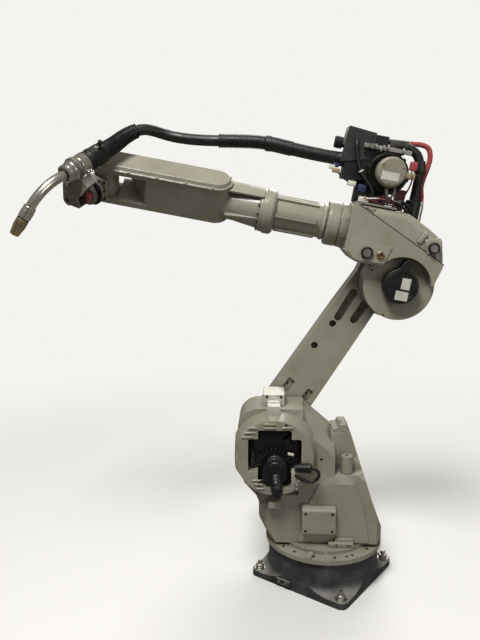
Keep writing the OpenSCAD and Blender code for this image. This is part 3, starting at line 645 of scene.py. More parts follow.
for name, (plastic, aside) in WIRES.items():
    route = [(128, 60, 186 - aside * 0.3), (112, 64, 184 + aside * 0.4), (92, 66, 181 + aside),
             (70, 65, 180 + aside * 1.2), (50, 62, 181 + aside), (36, 54, 184 + aside * 0.6), (30, 44, 188)]
    lead(name, "elbow", route, 3.6, plastic)

# %% [markdown]
# Bores come next. A hole drawn as a dark dot looks painted on, so each is drilled: a turned cutter
# as wide and deep as the hole, copied to every place and taken out of the casting after its edges
# are rounded. Bores in near faces run along Y, those in upward faces along Z.

# %% Drill bits
def facing_y(points, link=ROW):
    """Places that look along +Y, to the near side; a link turns them into the frame's directions."""
    return [link @ (moved(*p) @ turned(-90, "X")) for p in points]


def corners(y, across, up):
    """The corners of a rectangle at a depth y."""
    return [(x, y, z) for x in across for z in up]


def drill(radius, depth, places):
    """One cutter of many bores; each place is a matrix whose Z looks out of the surface."""
    bit = lathe("bit", [(0, -depth), (radius, -depth), (radius, 2), (0, 2)], steps=20)
    return copies("bores", bit, places)


DISC_BORES = [(78, 115, 68), (-27.5, 115, 84), (59.4, 115, -74.3)]
WALL_BORE = (14.3, 78, 335.2)
POST_BORES = [(-50, 61, 342), (-35, 26, 414), (-35, 10, 414)]
POCKET_BORES = [(57, -76, 400), (17, -76, 404)]
COVER_CORNERS = (-14, 52), (157, 202)
SEATS = [(70, 24), (-52, 56), (20, -77)]
INSERT_AT = (65, 63)
CUTTERS = {
    "turntable_casting": joined("turntable_bores", [
        drill(3.4, 9, facing_y(DISC_BORES, SHOULDER)), drill(3.6, 12, facing_y([WALL_BORE]))]),
    "swivel_stop": drill(2.6, 9, facing_y([(x, 98, 119) for x in (-26, -60, -54)])),
    "access_cover": drill(3.6, 3, facing_y(corners(102, *COVER_CORNERS))),
    "lifting_post": drill(4.2, 10, [moved(*p) for p in POST_BORES]),
    "lower_arm": drill(3.4, 8, facing_y(POCKET_BORES, LOWER)),
    "elbow_casting": drill(2.6, 9, facing_y([(x, 40, z) for x, z in SEATS], ELBOW)),
    "elbow_plugs": drill(4.2, 3.4, facing_y([(INSERT_AT[0], 82, INSERT_AT[1])], ELBOW)),
}
print("bores in", list(CUTTERS))

# %% [markdown]
# The solids have knife-sharp edges, and no casting has. dressed() copies a solid, joins its loose
# triangles into clean faces, rounds its edges with a Bevel modifier, cuts its bores so that their
# rims stay crisp, and keeps its flats flat with weighted normals. Big castings were poured in sand
# and have generous radii; covers, rings and machined blocks have small ones.

# %% Dress the solids
def cut(piece, cutter):
    """Takes a cutter's shape out of a piece, and the cutter away."""
    pick(piece)
    bore = piece.modifiers.new("bore", "BOOLEAN")
    bore.operation = "DIFFERENCE"
    bore.solver = "EXACT"
    bore.object = cutter
    bpy.ops.object.modifier_apply(modifier=bore.name)
    bpy.data.objects.remove(cutter)


def dressed(node, surface, slot, bevel, cutter):
    """A solid's skin, which rides on its body and stands for it."""
    piece = added(node + "_skin", frame["nodes"][node].data.copy())
    bpy.ops.mesh.customdata_custom_splitnormals_clear()
    open_all(piece)
    bpy.ops.mesh.remove_doubles(threshold=2e-5)
    bpy.ops.mesh.dissolve_limited(angle_limit=math.radians(0.8))
    mode("OBJECT")
    round_edges(piece, bevel, 3, 28, "MITER_ARC")
    if cutter:
        cut(piece, cutter)
    settle(piece, BODY_OF[node], surface, node, at=None, slot=slot, smooth=38)
    flat = piece.modifiers.new("flat faces", "WEIGHTED_NORMAL")
    flat.keep_sharp = True
    bpy.ops.object.modifier_apply(modifier=flat.name)


DRESS = [  # a finish, and the edge radius in mm of each solid that has it
    (primer, {"base_casting": 4.0, "connector_box": 4.0}),
    (enamel, {"swivel_ring": 2.0, "turntable_casting": 4.0, "access_cover": 3.0, "swivel_stop": 2.0,
              "lifting_post": 2.0, "lower_arm": 4.0, "lower_arm_caps": 3.0, "elbow_casting": 3.0,
              "roll_ring": 1.2, "forearm_tube": 2.5, "forearm_collar": 2.0, "forearm_fork": 3.0,
              "belt_cover": 1.5, "wrist_body": 2.0}),
    (satin_black, {"shoulder_motor": 3.0, "elbow_motor_cap": 4.0, "feed_head": 2.5}),
    (sheet_black, {"feeder_bracket": 1.5, "feeder_guard": 0.8}),
    (cast_alu, {"shoulder_stop": 2.0}),
    (machined, {"elbow_plugs": 1.0}),
    (zinc, {"feeder_plate": 0.8, "feeder_bar": 1.2, "gas_fitting": 1.5}),
    (oxide, {"feed_motor": 1.5, "tool_flange": 1.2}),
    (feeder_cast, {"feed_motor_cap": 2.0}),
    (nylon, {"cable_socket": 1.2, "conduit_gland": 2.0, "torch_body": 1.5}),
    (red_plastic, {"gas_valve": 2.0}),
    (ivory_plastic, {"lead_plugs": 1.5}),
    (sensor_cast, {"crash_sensor": 2.0}),
    (phosphate, {"torch_bracket": 1.5}),
    (nickel, {"torch_clamp": 1.0}),
]
OTHER_SLOT = {"elbow_plugs": "plug_steel", "tool_flange": "plug_steel", "feeder_bracket": "motor_black",
              "feed_motor": "feeder_grey", "gas_fitting": "brass"}
for surface, radii in DRESS:
    for node, bevel in radii.items():
        dressed(node, surface, OTHER_SLOT.get(node), bevel, CUTTERS.get(node))

# %% [markdown]
# Screws and bolts are turned once and copied. A hex head is a six-sided blank with a chamfered
# top; a socket screw is a turned head with a turned well joined into its top; a floor bolt adds a
# washer and the end of its stud.

# %% Fasteners
def hex_head(across, height):
    """A hexagon head: a six-sided blank whose top edge is chamfered."""
    r = across / 2 / math.cos(math.pi / 6)
    head = lathe("hex_head", [(0, 0), (r, 0), (r, height - 1), (r - 1.2, height), (0, height)], steps=6)
    return round_edges(head, 0.3, 1, 25)


def socket_screw(radius, height):
    """A socket head: a turned head with a round well sunk into its top."""
    top, bottom, key = (radius - 0.5, height), height * 0.4, radius * 0.52
    head = lathe("socket_screw", [(0, 0), (radius, 0), (radius, height - 0.5), top], steps=18)
    well = lathe("well", [(0, bottom), (key, bottom), (key, height), top], steps=18)
    head = joined("socket_screw", [head, well])
    open_all(head)
    bpy.ops.mesh.remove_doubles(threshold=1e-5)
    close_outward()
    return head


def set_out(name, template, places, body, surface, at=ROW):
    """Copies of a template, settled as one piece."""
    settle(copies(name, template, places), body, surface, at=at)


def screws(name, radius, height, places, body, surface=oxide, at=ROW):
    set_out(name, socket_screw(radius, height), places, body, surface, at)


washer = lathe("washer", [(6.5, 0), (14.4, 0), (14.8, 0.4), (14.8, 2.3), (14.4, 2.6), (6.5, 2.6)])
nut = hex_head(19, 10)
nut.data.transform(moved(0, 0, 2.6))
stud = lathe("stud", [(0, 12), (6, 12), (6, 22), (5.4, 23.4), (0, 23.4)], steps=24)
FEET = [(x, y, 16) for x in (-119, 119) for y in (-119, 119)]
set_out("floor_bolts", joined("floor_bolt", [washer, nut, stud]),
        [moved(*p) @ turned(p[0] / 4, "Z") for p in FEET], "base", zinc)

# %% [markdown]
# The base's flare carries a small clamp for the earth strap. Its top is inset and pushed in, which
# leaves a raised rim. The swivel ring is held by socket screws round its rim.

# %% Base and ring details
def choose(piece, test, kind="FACE"):
    """Opens a piece in edit mode with only the faces or edges selected that pass a test."""
    pick(piece)
    mode("EDIT")
    bpy.ops.mesh.select_mode(type=kind)
    bpy.ops.mesh.select_all(action="DESELECT")
    mode("OBJECT")
    for element in piece.data.polygons if kind == "FACE" else piece.data.edges:
        element.select = bool(test(element))
    mode("EDIT")


def sunk(piece, axis, inset, depth, least=0.9):
    """Insets the faces that look along an axis (0, 1 or 2) and pushes them in: a raised rim stays."""
    choose(piece, lambda face: face.normal[axis] > least)
    bpy.ops.mesh.inset(thickness=inset * MM)
    push = [0, 0, 0]
    push[axis] = -depth * MM
    bpy.ops.mesh.extrude_region_move(TRANSFORM_OT_translate={"value": push})
    mode("OBJECT")
    return piece


clamp = sunk(block("earth_clamp", (-20, -7, 0), (20, 7, 7), 1.5), 2, 2.2, 1.6)
settle(clamp, "base", primer, at=facing_y([(34, 137, 16)])[0])
screws("earth_screws", 4, 4, facing_y([(24, 142, 16), (44, 142, 16)]), "base", zinc)
RING_ANGLES = (38, 54, 76, 98, 111, 118, 140, 180, 220, 260, 300, -20, 8)
screws("ring_screws", 3.6, 2.2, [turned(a, "Z") @ moved(134, 0, 104.6) for a in RING_ANGLES],
       BODY_OF["swivel_ring"], at=None)

# %% [markdown]
# The shoulder motor fills the opening in the round cover with black parts: a bed plate that closes
# it, thin fins along its top and side, a stepped round cap for the brake, and a ribbed rubber boot
# over the cover's rim. Each kind of fin is one block, copied in a row.

# %% Shoulder motor
BED = [(-63, -32), (-39, -32), (-39, -74), (39, -74), (39, -32), (63, -32), (63, 46), (39, 46),
       (39, 68), (-39, 68), (-39, 46), (-63, 46)]
settle(sunk(plate("motor_bed", BED, 69, 88, 2.0), 1, 5, 4), "turntable", satin_black)
FINS = [  # a fin's low and high corner, and its places
    ((-1, 82, 48), (1, 99, 65), [moved(x, 0, 0) for x in range(-33, 34, 6)]),
    ((50, 82, -1.2), (60, 96, 1.2), [moved(0, 0, z) for z in range(-26, 44, 6)]),
    ((-1.1, 84, 33), (1.1, 103, 45), [moved(-2, 0, -24) @ turned(a, "Y") for a in range(-56, 57, 14)]),
]
fins = [copies("fins", block("fin", low, high, 0.4, 1), places) for low, high, places in FINS]
settle(joined("motor_fins", fins), "turntable", satin_black)
CAP = [(0, 112), (17, 112), (19, 110.5), (20, 108), (26, 108), (28, 106.5), (28.5, 104), (28.5, 96),
       (31, 94), (31, 84), (0, 84)]
CAP_AT = (-2, 0, -31)
settle(round_edges(lathe("brake_cap", CAP, "Y", CAP_AT, 48), 0.8), "turntable", satin_black)
screws("brake_cap_screws", 2.4, 2.2,
       [moved(*CAP_AT) @ turned(a, "Y") @ moved(23.4, 107.6, 0) @ turned(-90, "X")
        for a in (40, 130, 220, 310)], "turntable")
BOOT_ROUTE = [(-3, 104, -52), (-4, 116, -62), (-5, 122, -74), (-6, 118, -86), (-6, 106, -94)]
boot = hose("cable_boot", smooth_line(BOOT_ROUTE, 1.6),
            lambda i, p: 15.0 + 1.2 * (i % 5 in (1, 2, 3)) - 0.1 * i, 24)
settle(boot, "turntable", hose_rubber)

# %% [markdown]
# Beside the motor sit its connector, a ribbed sleeve with a collar nut, three terminals, a tilted
# terminal plate and an ivory clip. The cover's face carries cast pads for drilling: short bars
# with rounded tops.

# %% Connector, terminals and cast pads
ribs = [(0, -48), (8, -48), (8, -53)]
for x in range(-54, -78, -4):
    ribs += [(10.4, x), (10.4, x - 2), (9.2, x - 2.4), (9.2, x - 3.6)]
ribs += [(12, -78), (12, -86), (10, -88), (6, -90), (0, -90)]
plug = lathe("shoulder_connector", ribs, "X", (0, 122, -20))
settle(plug, "turntable", nylon, "shoulder_plugs")
saddle = block("connector_saddle", (-76, 114, -30), (-58, 121, -10), 1.6)
settle(saddle, "turntable", nylon)
ledge = block("waist_ledge", (-16, 77, -139), (16, 101, -119), 4.5, 4)
settle(ledge, "turntable", enamel, "shoulder_plugs")
POST = [(0, 0), (4.6, 0), (4.6, 2.4), (3.2, 3), (3.2, 6), (2.6, 6.8), (0, 6.8)]
POSTS_AT = [(-59, 114.6, -56), (-54, 114.6, -66), (-53, 114.6, -76)]
set_out("motor_terminals", lathe("terminal", POST, steps=20), facing_y(POSTS_AT), "turntable", zinc)
tag = block("terminal_plate", (-8, 88, -14), (8, 98, 14), 1.5)
settle(tag, "turntable", oxide, at=moved(-32, 0, 30) @ turned(24, "Y"), slot="motor_black")
clip = block("ivory_clip", (-8, 96, -3), (8, 102, 3), 1.2)
settle(clip, "turntable", ivory_plastic, at=moved(-39, 0, 6) @ turned(-12, "Y"))
PADS = {  # length, and the places of the pads that have it
    30: [(12, 86), (12, 76.3), (54, 76), (-30.5, 77.4), (60.3, 64), (67, 53)],
    22: [(44, -56.6), (39.5, -66.4), (33.6, -77.4)],
}
bars = []
for length, places in PADS.items():
    bar = block("pad", (-length / 2, 113, -2.7), (length / 2, 118, 2.7), 2.0, 3)
    bars.append(copies("pads", bar, [moved(x, 0, z) for x, z in places]))
settle(joined("cast_pads", bars), "turntable", enamel)

# %% [markdown]
# The aluminium stop on the shoulder's top ends in a tongue in front of the casting. Its lower
# corners are round, so its outline is drawn point by point. The access cover gets its four screws
# and a pale sealing strip behind it.

# %% Stop tongue and access cover
half_turn = [math.pi * (1 + k / 12) for k in range(13)]
tongue_end = [(3 + 17 * math.cos(a), 104 + 13 * math.sin(a)) for a in half_turn]
tongue = plate("stop_tongue", [(-14, 123), *tongue_end, (20, 123)], 80, 88, 1.5)
settle(tongue, "turntable", cast_alu)
screws("stop_screws", 3.2, 2.0, facing_y([(-15, 39.6, 133), (20, 39.6, 133)]), "turntable")
screws("cover_screws", 3.2, 2.0, facing_y(corners(99.4, *COVER_CORNERS)), "turntable", at=None)
strip = plate("cover_gasket", [(-25, 147), (-25, 220.5), (63, 220.5), (63, 147)], 81, 83.2, 0.6)
settle(strip, "turntable", sensor_cast, at=None, slot="black_rubber")

# %% [markdown]
# The elbow's cover is a dome: its outline is extruded, and only the edges round its near face are
# bevelled, widely and with many segments. The edge along the seam stays crisp, and a dark gasket
# shows there.

# %% Domed elbow cover
COVER = [(138, 172), (20, 172), (-40, 142), (-73, 122), (-85, 77), (-85, 69)]
COVER_FAR, COVER_NEAR = -44, 74
dome = plate("elbow_dome", COVER, COVER_FAR, COVER_NEAR, 0)


def on_near_rim(edge):
    ends = [dome.data.vertices[v].co / MM for v in edge.vertices]
    on_seam = {round(e.x) for e in ends} == {138, -85}
    return all(e.y > COVER_NEAR - 1 for e in ends) and not on_seam


choose(dome, on_near_rim, "EDGE")
bpy.ops.mesh.bevel(offset=20 * MM, segments=8, affect="EDGES")
mode("OBJECT")
settle(dome, "elbow", enamel, "elbow_cover", smooth=45)
SEAM = [(137.6, 170.6), (-85.4, 69.4), (-85.4, 67.4), (137.6, 168.4)]
settle(plate("cover_seam", SEAM, 60, 75.6, 0.4, 1), "elbow", oxide, slot="black_rubber")

# %% [markdown]
# On the elbow's near face sit two steel plugs in black rubber rings and a brass insert with a
# threaded hole. A ring is a closed profile spun round, so it has an inside and an outside. The
# motor cap wears two blank stickers and a low rim, and a cast strap crosses the cover.

# %% Elbow plugs, labels and strap
def ring(name, inner, outer, low, high, axis, at=(0, 0, 0), steps=40):
    """A turned ring between two radii: a closed profile with a rounded top."""
    mid, half = (inner + outer) / 2, (outer - inner) / 2
    shoulder = high - half * 0.5
    profile = [(inner, low), (outer, low), (outer, shoulder), (mid + half * 0.5, high),
               (mid - half * 0.5, high), (inner, shoulder), (inner, low)]
    return lathe(name, profile, axis, at, steps)


seals = [ring("seal", 9.4, 14.2, 77, 84.5, "Y", (97, 0, 63)),
         ring("seal", 8.6, 13.4, 77, 87.5, "Y", (-52, 0, 102))]
settle(joined("plug_seals", seals), "elbow", nylon)
insert = ring("brass_insert", 4.0, 8.2, 80, 83.6, "Y", (INSERT_AT[0], 0, INSERT_AT[1]))
settle(insert, "elbow", brass)
settle(ring("motor_cap_rim", 33.5, 36.5, 69, 71.2, "Y", steps=56), "elbow", satin_black)
LABELS = ([(-20.5, -6), (-20.5, 21), (0.5, 21), (0.5, -6)],
          [(-20.5, -33), (-20.5, -11), (9.5, -11), (9.5, -33)])
stickers = [plate("sticker", outline, 71.0, 71.6, 0.2, 1) for outline in LABELS]
settle(joined("motor_stickers", stickers), "elbow", sticker)
settle(block("sticker_backing", (-12, 69, -30), (2, 71.2, 18), 0.8), "elbow", satin_black)
screws("seat_screws", 2.4, 2, facing_y([(x, 38, z) for x, z in SEATS]), "elbow")
RAISED = {  # outline, far and near face, edge radius and its segments
    "cover_strap": ([(-10, 109), (-21, 105), (-34, 132), (-24, 138)], 44, 79, 2.5, 3),
    "cover_lug": ([(-28, 118), (-64, 128), (-74, 96), (-40, 84)], 34, 78.4, 2.5, 3),
    "tip_panel": ([(122, 167), (98, 168), (103, 157)], 70, 74.6, 0.8, 2),
}
for name, shape in RAISED.items():
    settle(plate(name, *shape), "elbow", enamel)

# %% [markdown]
# The roll ring between elbow and forearm is held by painted screws round its edge.

# %% Roll ring screws
screws("roll_ring_screws", 2.8, 2.4,
       [moved(0, 0, ROLL_HEIGHT) @ turned(a, "X") @ moved(157, 0, 53) for a in range(14, 374, 45)],
       "elbow", enamel)

# %% [markdown]
# The wire feeder's motor cap has three screws, a blank label and a lip, and the drive ring behind it
# has lugs. The clamp bar carries spring clamps and a knob, and the guard's bent edge is rubbed bare.

# %% Feeder motor and clamp bar
MOTOR = moved(84, 0, 252)
screws("motor_cap_screws", 3.0, 1.6, facing_y([(22, 101.4, 13), (-25, 101.4, 12), (2, 101.4, -27)]),
       "elbow", feeder_cast, at=MOTOR)
label = plate("motor_label", [(-18, -20), (-18, -1), (22, -1), (22, -20)], 101.6, 102.5, 0.3, 1)
settle(label, "elbow", sticker, at=MOTOR)
settle(ring("motor_cap_lip", 30.4, 34.8, 84, 88, "Y", steps=56), "elbow", feeder_cast, at=MOTOR)
settle(ring("drive_ring", 40, 46, 48, 55, "Y", steps=56), "elbow", oxide, slot="feeder_grey", at=MOTOR)
lugs = copies("drive_lugs", block("drive_lug", (-4, 48, 40), (4, 54, 50), 1.2),
              [turned(a, "Y") for a in range(20, 380, 60)])
settle(lugs, "elbow", oxide, slot="feeder_grey", at=MOTOR)
CLAMPS_AT = [(124, 306), (112, 302), (106, 306), (96, 308), (60, 306)]
set_out("bar_clamps", ring("spring", 5.2, 8.2, -2.5, 2.5, "X", steps=24),
        [moved(x, 45, z) for x, z in CLAMPS_AT], "elbow", zinc)
KNOB = [(0, 0), (6, 0), (7, 2), (7, 9), (5.6, 11), (0, 11)]
settle(lathe("bar_knob", KNOB, "Y", (134, 48, 305), 20), "elbow", machined)
bent = plate("guard_edge", [(193.6, 341), (197.2, 341), (200.6, 299), (197, 299)], 12, 41.5, 0.8)
settle(bent, "elbow", sensor_cast)

# %% [markdown]
# Plugs in ivory, tan and blue hang below the feeder, each with a sunken end. The torch cable is
# coupled on by a ribbed grip, and cuffs, a tie and a collar hold the hoses.

# %% Plugs and hose fittings
GRIP = [(0, -8), (11, -8), (11, 2), (14.5, 3), (14.5, 7), (13.4, 8), (13.4, 9), (14.5, 10), (14.5, 14),
        (13.4, 15), (13.4, 16), (14.5, 17), (14.5, 19), (12, 21), (0, 21)]
settle(lathe("coupling_grip", GRIP, "X", (199, 27, 304), 32), "elbow", nylon)
PLUGS = {
    "ivory_plug": (ivory_plastic, (209, 40, 239), (222, 52, 249)),
    "tan_plug": (tan_plastic, (196, 40, 232), (213, 54, 242)),
    "blue_plug": (blue_plastic, (200, 36, 245), (214, 50, 254)),
    "white_plug": (ivory_plastic, (153, 42, 209), (172, 56, 220)),
    "blue_sleeve": (blue_plastic, (128, 42, 200), (146, 56, 216)),
    "tan_block": (tan_plastic, (22, 36, 248), (46, 56, 262)),
    "red_clip": (red_rubber, (22, 42, 268), (38, 56, 288)),
}
for name, (plastic, low, high) in PLUGS.items():
    settle(sunk(block(name, low, high, 1.6), 0, 2.2, 2), "elbow", plastic, slot="white_plastic")
tie = ring("cable_tie", 4.4, 6.2, -2, 2, "Z", steps=20)
settle(tie, "elbow", ivory_plastic, at=moved(147, 51, 246) @ turned(34, "Y"))
cuff = ring("conduit_cuff", 10, 14.4, -12, 12, "Z", steps=32)
settle(cuff, "elbow", nylon, at=moved(8.5, 12.5, 284) @ turned(16, "Y"))
sleeve = ring("conduit_sleeve", 10, 13.6, -24, 20, "X", steps=32)
settle(sleeve, "elbow", hose_rubber, at=moved(72, 18, 321.6) @ turned(4, "Y"))
COLLAR = [(0, 0), (9, 0), (9, 10), (7.6, 12), (7.6, 20), (0, 20)]
settle(lathe("gas_collar", COLLAR, "Z", (-18, -12, 186), 24), "elbow", zinc)

# %% [markdown]
# A tangle of leads fills the gap under the feeder's motor: two grey legs from the motor, red and
# black leads along the plate, one lead from plug to plug and one down from the gas valve.

# %% Leads under the feeder
TANGLE = {  # finish, thickness and route
    "motor_leg_a": (sensor_cast, 7, [
        (86, 78, 224), (86, 84, 216), (84, 84, 206), (80, 80, 198), (76, 72, 190), (74, 62, 184)]),
    "motor_leg_b": (sensor_cast, 6, [
        (70, 78, 226), (68, 85, 217), (67, 86, 208), (70, 82, 199), (72, 74, 191), (72, 64, 184)]),
    "red_lead_a": (red_plastic, 4.5, [
        (96, 56, 184), (92, 68, 192), (84, 74, 198), (74, 74, 196), (64, 70, 190), (56, 60, 184)]),
    "red_lead_b": (red_plastic, 4.5, [
        (104, 54, 184), (98, 68, 188), (86, 76, 190), (72, 76, 188), (60, 70, 186), (50, 58, 183)]),
    "black_lead_a": (nylon, 7, [
        (66, 54, 186), (52, 64, 188), (38, 66, 182), (24, 62, 172), (14, 54, 160)]),
    "black_lead_b": (nylon, 8, [
        (58, 48, 188), (44, 56, 192), (30, 56, 190), (16, 50, 180), (6, 40, 166)]),
    "plug_lead": (nylon, 4.5, [
        (200, 47, 236), (192, 50, 228), (182, 52, 222), (168, 52, 216), (152, 51, 210),
        (138, 50, 204), (128, 50, 196), (124, 52, 188)]),
    "valve_lead": (red_plastic, 4, [
        (32, 50, 268), (30, 54, 258), (28, 56, 244), (30, 54, 228), (34, 48, 212), (36, 40, 200)]),
}
for name, (skin, thick, route) in TANGLE.items():
    lead(name, "elbow", route, thick, skin)

# %% [markdown]
# The belt cover is held by hex screws along both edges of its lip, and a web plate that narrows to
# the front bridges collar and belt box over a dark pocket. Dark socket screws hold the collar.

# %% Forearm details
LIP = [(684, 35.5), (615, 35.5), (546, 35.5), (480, 35.0), (448, 20)]
set_out("belt_cover_screws", hex_head(7, 3.2),
        [moved(x, y * side, 60.6) @ turned(x, "Z") for x, y in LIP for side in (1, -1)],
        "forearm", enamel)
COLLAR_ANGLES = (-12, 12, -42, -66, -90, -120, -150, 150, 120, 90, 60, 36)
screws("collar_screws", 3.2, 3,
       [turned(a, "X") @ moved(365, 0, 49.6) @ turned(90, "Y") for a in COLLAR_ANGLES], "forearm")
web = block("neck_web", (358, -21, 48.5), (452, 21, 54.5), 1.5)
choose(web, lambda face: face.normal.x > 0.9)
bpy.ops.transform.resize(value=(1, 0.6, 1), center_override=(0.452, 0, 0.05))
mode("OBJECT")
settle(web, "forearm", enamel)
settle(ring("tube_band", 39, 44.5, 204, 212, "X", steps=64), "forearm", enamel)

# %% [markdown]
# The wrist's barrel has a ring of screws and a square flange with one in each corner. The crash
# sensor in front of it is a stack: a black wedge, a grey tilted block with a milled step, and a
# red lock.

# %% Wrist and crash sensor
screws("barrel_screws", 2.6, 2.4, [turned(a, "X") @ moved(46, 0, 32.2) for a in range(15, 375, 45)],
       "wrist")
screws("hub_screws", 3, 2.4, [turned(a, "Z") @ moved(20, 0, 46) for a in range(0, 360, 60)], "wrist")
settle(block("barrel_flange", (34, -26, -22.5), (41.5, 36, 34), 4.0, 3), "wrist", enamel)
screws("flange_screws", 2.8, 2.4,
       [moved(41, y, z) @ turned(90, "Y") for y in (-21, 31) for z in (-17.5, 29)], "wrist")
ACROSS = turned(90, "Z")  # an outline in (y, z) of the tool, its thickness along -x
wedge = plate("sensor_wedge", [(-11, 27), (26, 32), (23, 2), (4, -18), (-8, -22)], -110, -80, 2.0)
settle(wedge, "tool", satin_black, at=ACROSS)
step = plate("sensor_block", [(-9, 49), (14, 82), (34, 73), (16, 27), (2, 24)], -116, -84, 2.0)
settle(sunk(step, 0, 4, 2.5, 0.6), "tool", cast_alu, slot="sensor_grey", at=ACROSS)
lock = plate("sensor_lock", [(20, 34), (36, 30), (30, 6), (20, 4)], -104, -88, 2.0)
settle(lock, "tool", red_rubber, at=ACROSS)

# %% [markdown]
# The torch: bright clamp rings with a split and its pinch screws, a black handle with collar rings
# and grip ribs, and a push button with a small valve beside it.

# %% Torch details
TORCH_HEIGHT = 106
GUN = moved(0, 0, TORCH_HEIGHT)
CLAMP_RINGS = [(24.4, 90, 3.4), (24.2, 97, 2.2), (24.0, 105, 2.2), (24.2, 127, 3), (21.6, 134, 3),
               (20.6, 141, 3), (16, 147, 4)]  # outer radius, place and width
rings = [ring("clamp_ring", 20, r, x, x + w, "X", steps=48) for r, x, w in CLAMP_RINGS]
settle(joined("clamp_rings", rings), "tool", nickel, at=GUN)
split = block("clamp_split", (92, 14, -4), (108, 26, 4), 1.2)
settle(split, "tool", machined, slot="torch_metal", at=GUN)
screws("pinch_screws", 3, 4, facing_y([(96, 25, 0), (104, 25, 0)]), "tool", zinc, at=GUN)
GRIP_RINGS = [(24.2, 84, 4), (24.6, 66, 7), (24.0, 54, 3), (24.0, 47, 3), (24.0, 40, 3), (23.4, 31, 4)]
grips = [ring("grip", 19, r, x, x + w, "X") for r, x, w in GRIP_RINGS]
settle(joined("handle_rings", grips), "tool", nylon, at=GUN)
BUTTON = [(0, 18), (4.6, 18), (4.6, 33), (3.8, 34.4), (0, 34.4)]
settle(lathe("push_button", BUTTON, "Z", (62, 4, 0), 24), "tool", zinc, at=GUN)
VALVE = [(0, 18), (6, 18), (6, 26), (3.4, 27), (3.4, 33), (5.4, 34), (5.4, 40), (4.4, 41.5), (0, 41.5)]
settle(lathe("air_valve", VALVE, "Z", (46, 2, 0), 24), "tool", nylon, at=GUN)
set_out("bracket_bolt", hex_head(13, 7), [moved(127, -12, 60) @ turned(90, "Y")], "tool", zinc)

# %% [markdown]
# The swan neck is a tube along a straight, an arc of 100 mm and another straight. On its end sit a
# plated sleeve, a dark insulating ring and the brass gas nozzle, which tapers to an open mouth.
# Eight slots run down the nozzle: a thin block, copied round the axis and cut out of it.

# %% Swan neck and nozzle
NECK_FROM, ARC_FROM, NECK_R, NECK_TURN = 146, 174, 100, 49
neck_line = [Vector((x, 0, TORCH_HEIGHT)) * MM for x in range(NECK_FROM, ARC_FROM, 4)]
for k in range(25):
    a = math.radians(NECK_TURN * k / 24)
    ahead, drop = NECK_R * math.sin(a), NECK_R * (1 - math.cos(a))
    neck_line.append(Vector((ARC_FROM + ahead, 0, TORCH_HEIGHT - drop)) * MM)
onward = Vector((math.cos(math.radians(NECK_TURN)), 0, -math.sin(math.radians(NECK_TURN))))
neck_end = neck_line[-1].copy()
neck_line += [neck_end + onward * d * MM for d in (4, 8, 12)]
settle(hose("swan_neck", neck_line, lambda i, p: 11.0, 40), "tool", nickel, "torch_neck")
NOZZLE = Matrix.Translation(neck_end) @ turned(NECK_TURN, "Y")
SLEEVE = [(10.6, 2), (12.6, 2), (13.8, 3.4), (13.8, 10), (13.2, 10.6), (13.2, 12), (14.2, 12.6),
          (14.2, 29), (13.4, 30), (10.6, 30), (10.6, 2)]
settle(lathe("nozzle_sleeve", SLEEVE, "X", steps=48), "tool", nickel, "torch_neck", at=NOZZLE)
settle(ring("nozzle_gap", 8, 12.6, 29.4, 33.4, "X", steps=48), "tool", nylon, at=NOZZLE)
MOUTH = [(8.6, 33), (13.0, 33), (13.4, 33.8), (13.4, 52), (12.6, 55), (10.2, 72.4), (9.6, 73), (8.6, 73),
         (8.6, 33)]
mouth = lathe("gas_nozzle", MOUTH, "X", steps=48)
slot_bit = block("slot_bit", (37, -1.1, 11.9), (53, 1.1, 16), 0.3, 1)
cut(mouth, copies("nozzle_slots", slot_bit, [turned(a, "X") for a in range(0, 360, 45)]))
settle(mouth, "tool", hot_brass, "torch_nozzle", at=NOZZLE)
TIP = [(0, 36), (4, 36), (4, 66), (2.6, 70), (0.9, 70), (0.9, 66), (0, 66)]
settle(lathe("contact_tip", TIP, "X", steps=24), "tool", brass, slot="nozzle_metal", at=NOZZLE)

# %% [markdown]
# The far side can't be seen in the photograph, so it follows what such arms have there: bearing
# caps held by a ring of screws, a service panel on the turntable's wall, closed sockets on the
# connector box and a bearing cap under the wrist.

# %% Far side
def facing_back(points):
    """Places that look along -Y, to the far side."""
    return [moved(*p) @ turned(90, "X") for p in points]


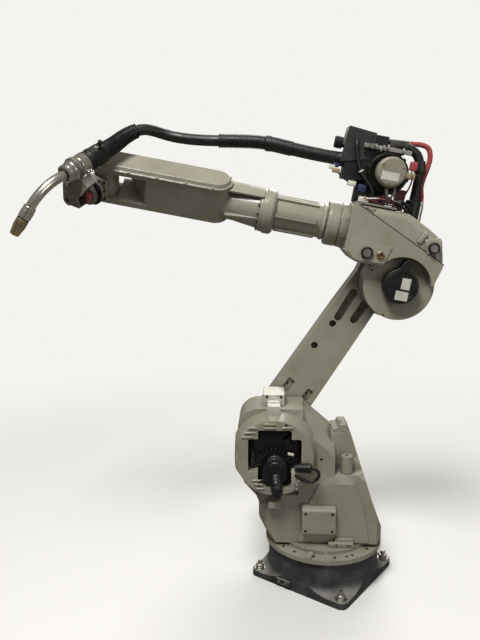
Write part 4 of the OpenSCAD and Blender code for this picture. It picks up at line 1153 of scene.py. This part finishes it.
BOSS = [(0, 0), (26, 0), (26, 2), (23, 4), (10, 4), (9, 3), (0, 3)]
for name, height, radius, count in (("shoulder_cap", 0, 64, 10), ("elbow_cap", LOWER_LENGTH, 56, 8)):
    round_about = [(radius * math.cos(a), -123.6, height + radius * math.sin(a))
                   for a in (2 * math.pi * k / count for k in range(count))]
    screws(name + "_screws", 4.5, 4, facing_back(round_about), "lower_link")
    boss = lathe(name + "_boss", BOSS, steps=40)
    settle(boss, "lower_link", enamel, at=facing_back([(0, -123.4, height)])[0])
panel = plate("service_panel", [(-82, 128), (-82, 216), (24, 216), (24, 128)], -50.4, -47, 1.0)
settle(panel, "turntable", enamel, at=None)
screws("panel_screws", 3, 1.4, facing_back(corners(-50, (-76, 18), (134, 210))), "turntable", at=None)
SOCKET = [(0, 0), (17, 0), (17, 3), (14.5, 4), (14.5, 12), (13, 14), (0, 14)]
set_out("closed_sockets", lathe("socket", SOCKET, steps=40),
        facing_back([(-26, -161.6, 52), (26, -161.6, 52)]), "base", nylon)
screws("box_screws", 3, 3, facing_back(corners(-161.6, (-50, 50), (31, 72))), "base", zinc)
UNDER = [(0, 0), (29, 0), (29, 2.5), (27, 4), (12, 4), (11, 3), (0, 3)]
settle(lathe("wrist_bearing_cap", UNDER, steps=48), "forearm", enamel,
       at=moved(WRIST_AT, 0, -39.6) @ turned(180, "X"))
screws("bearing_cap_screws", 2.6, 2,
       [moved(WRIST_AT, 0, -43) @ turned(180, "X") @ turned(a, "Z") @ moved(21, 0, 0)
        for a in range(0, 360, 60)], "forearm")
screws("feeder_screws", 3, 3, facing_back(corners(-23.6, (68, 180), (234, 294))), "elbow", zinc)

# %% [markdown]
# The two short pockets near the shoulder are shallow: each has a painted floor with one screw in it.

# %% Pocket floors
floors = [block("pocket_floor", (x - 11, -72, z - 20), (x + 11, -63, z + 20), 0.4)
          for x, z in ((53, 134), (-4, 140))]
settle(joined("pocket_floors", floors), "lower_link", enamel)
screws("pocket_screws", 2.8, 1.6, facing_y([(56, -63, 136), (-2, -63, 143)]), "lower_link")
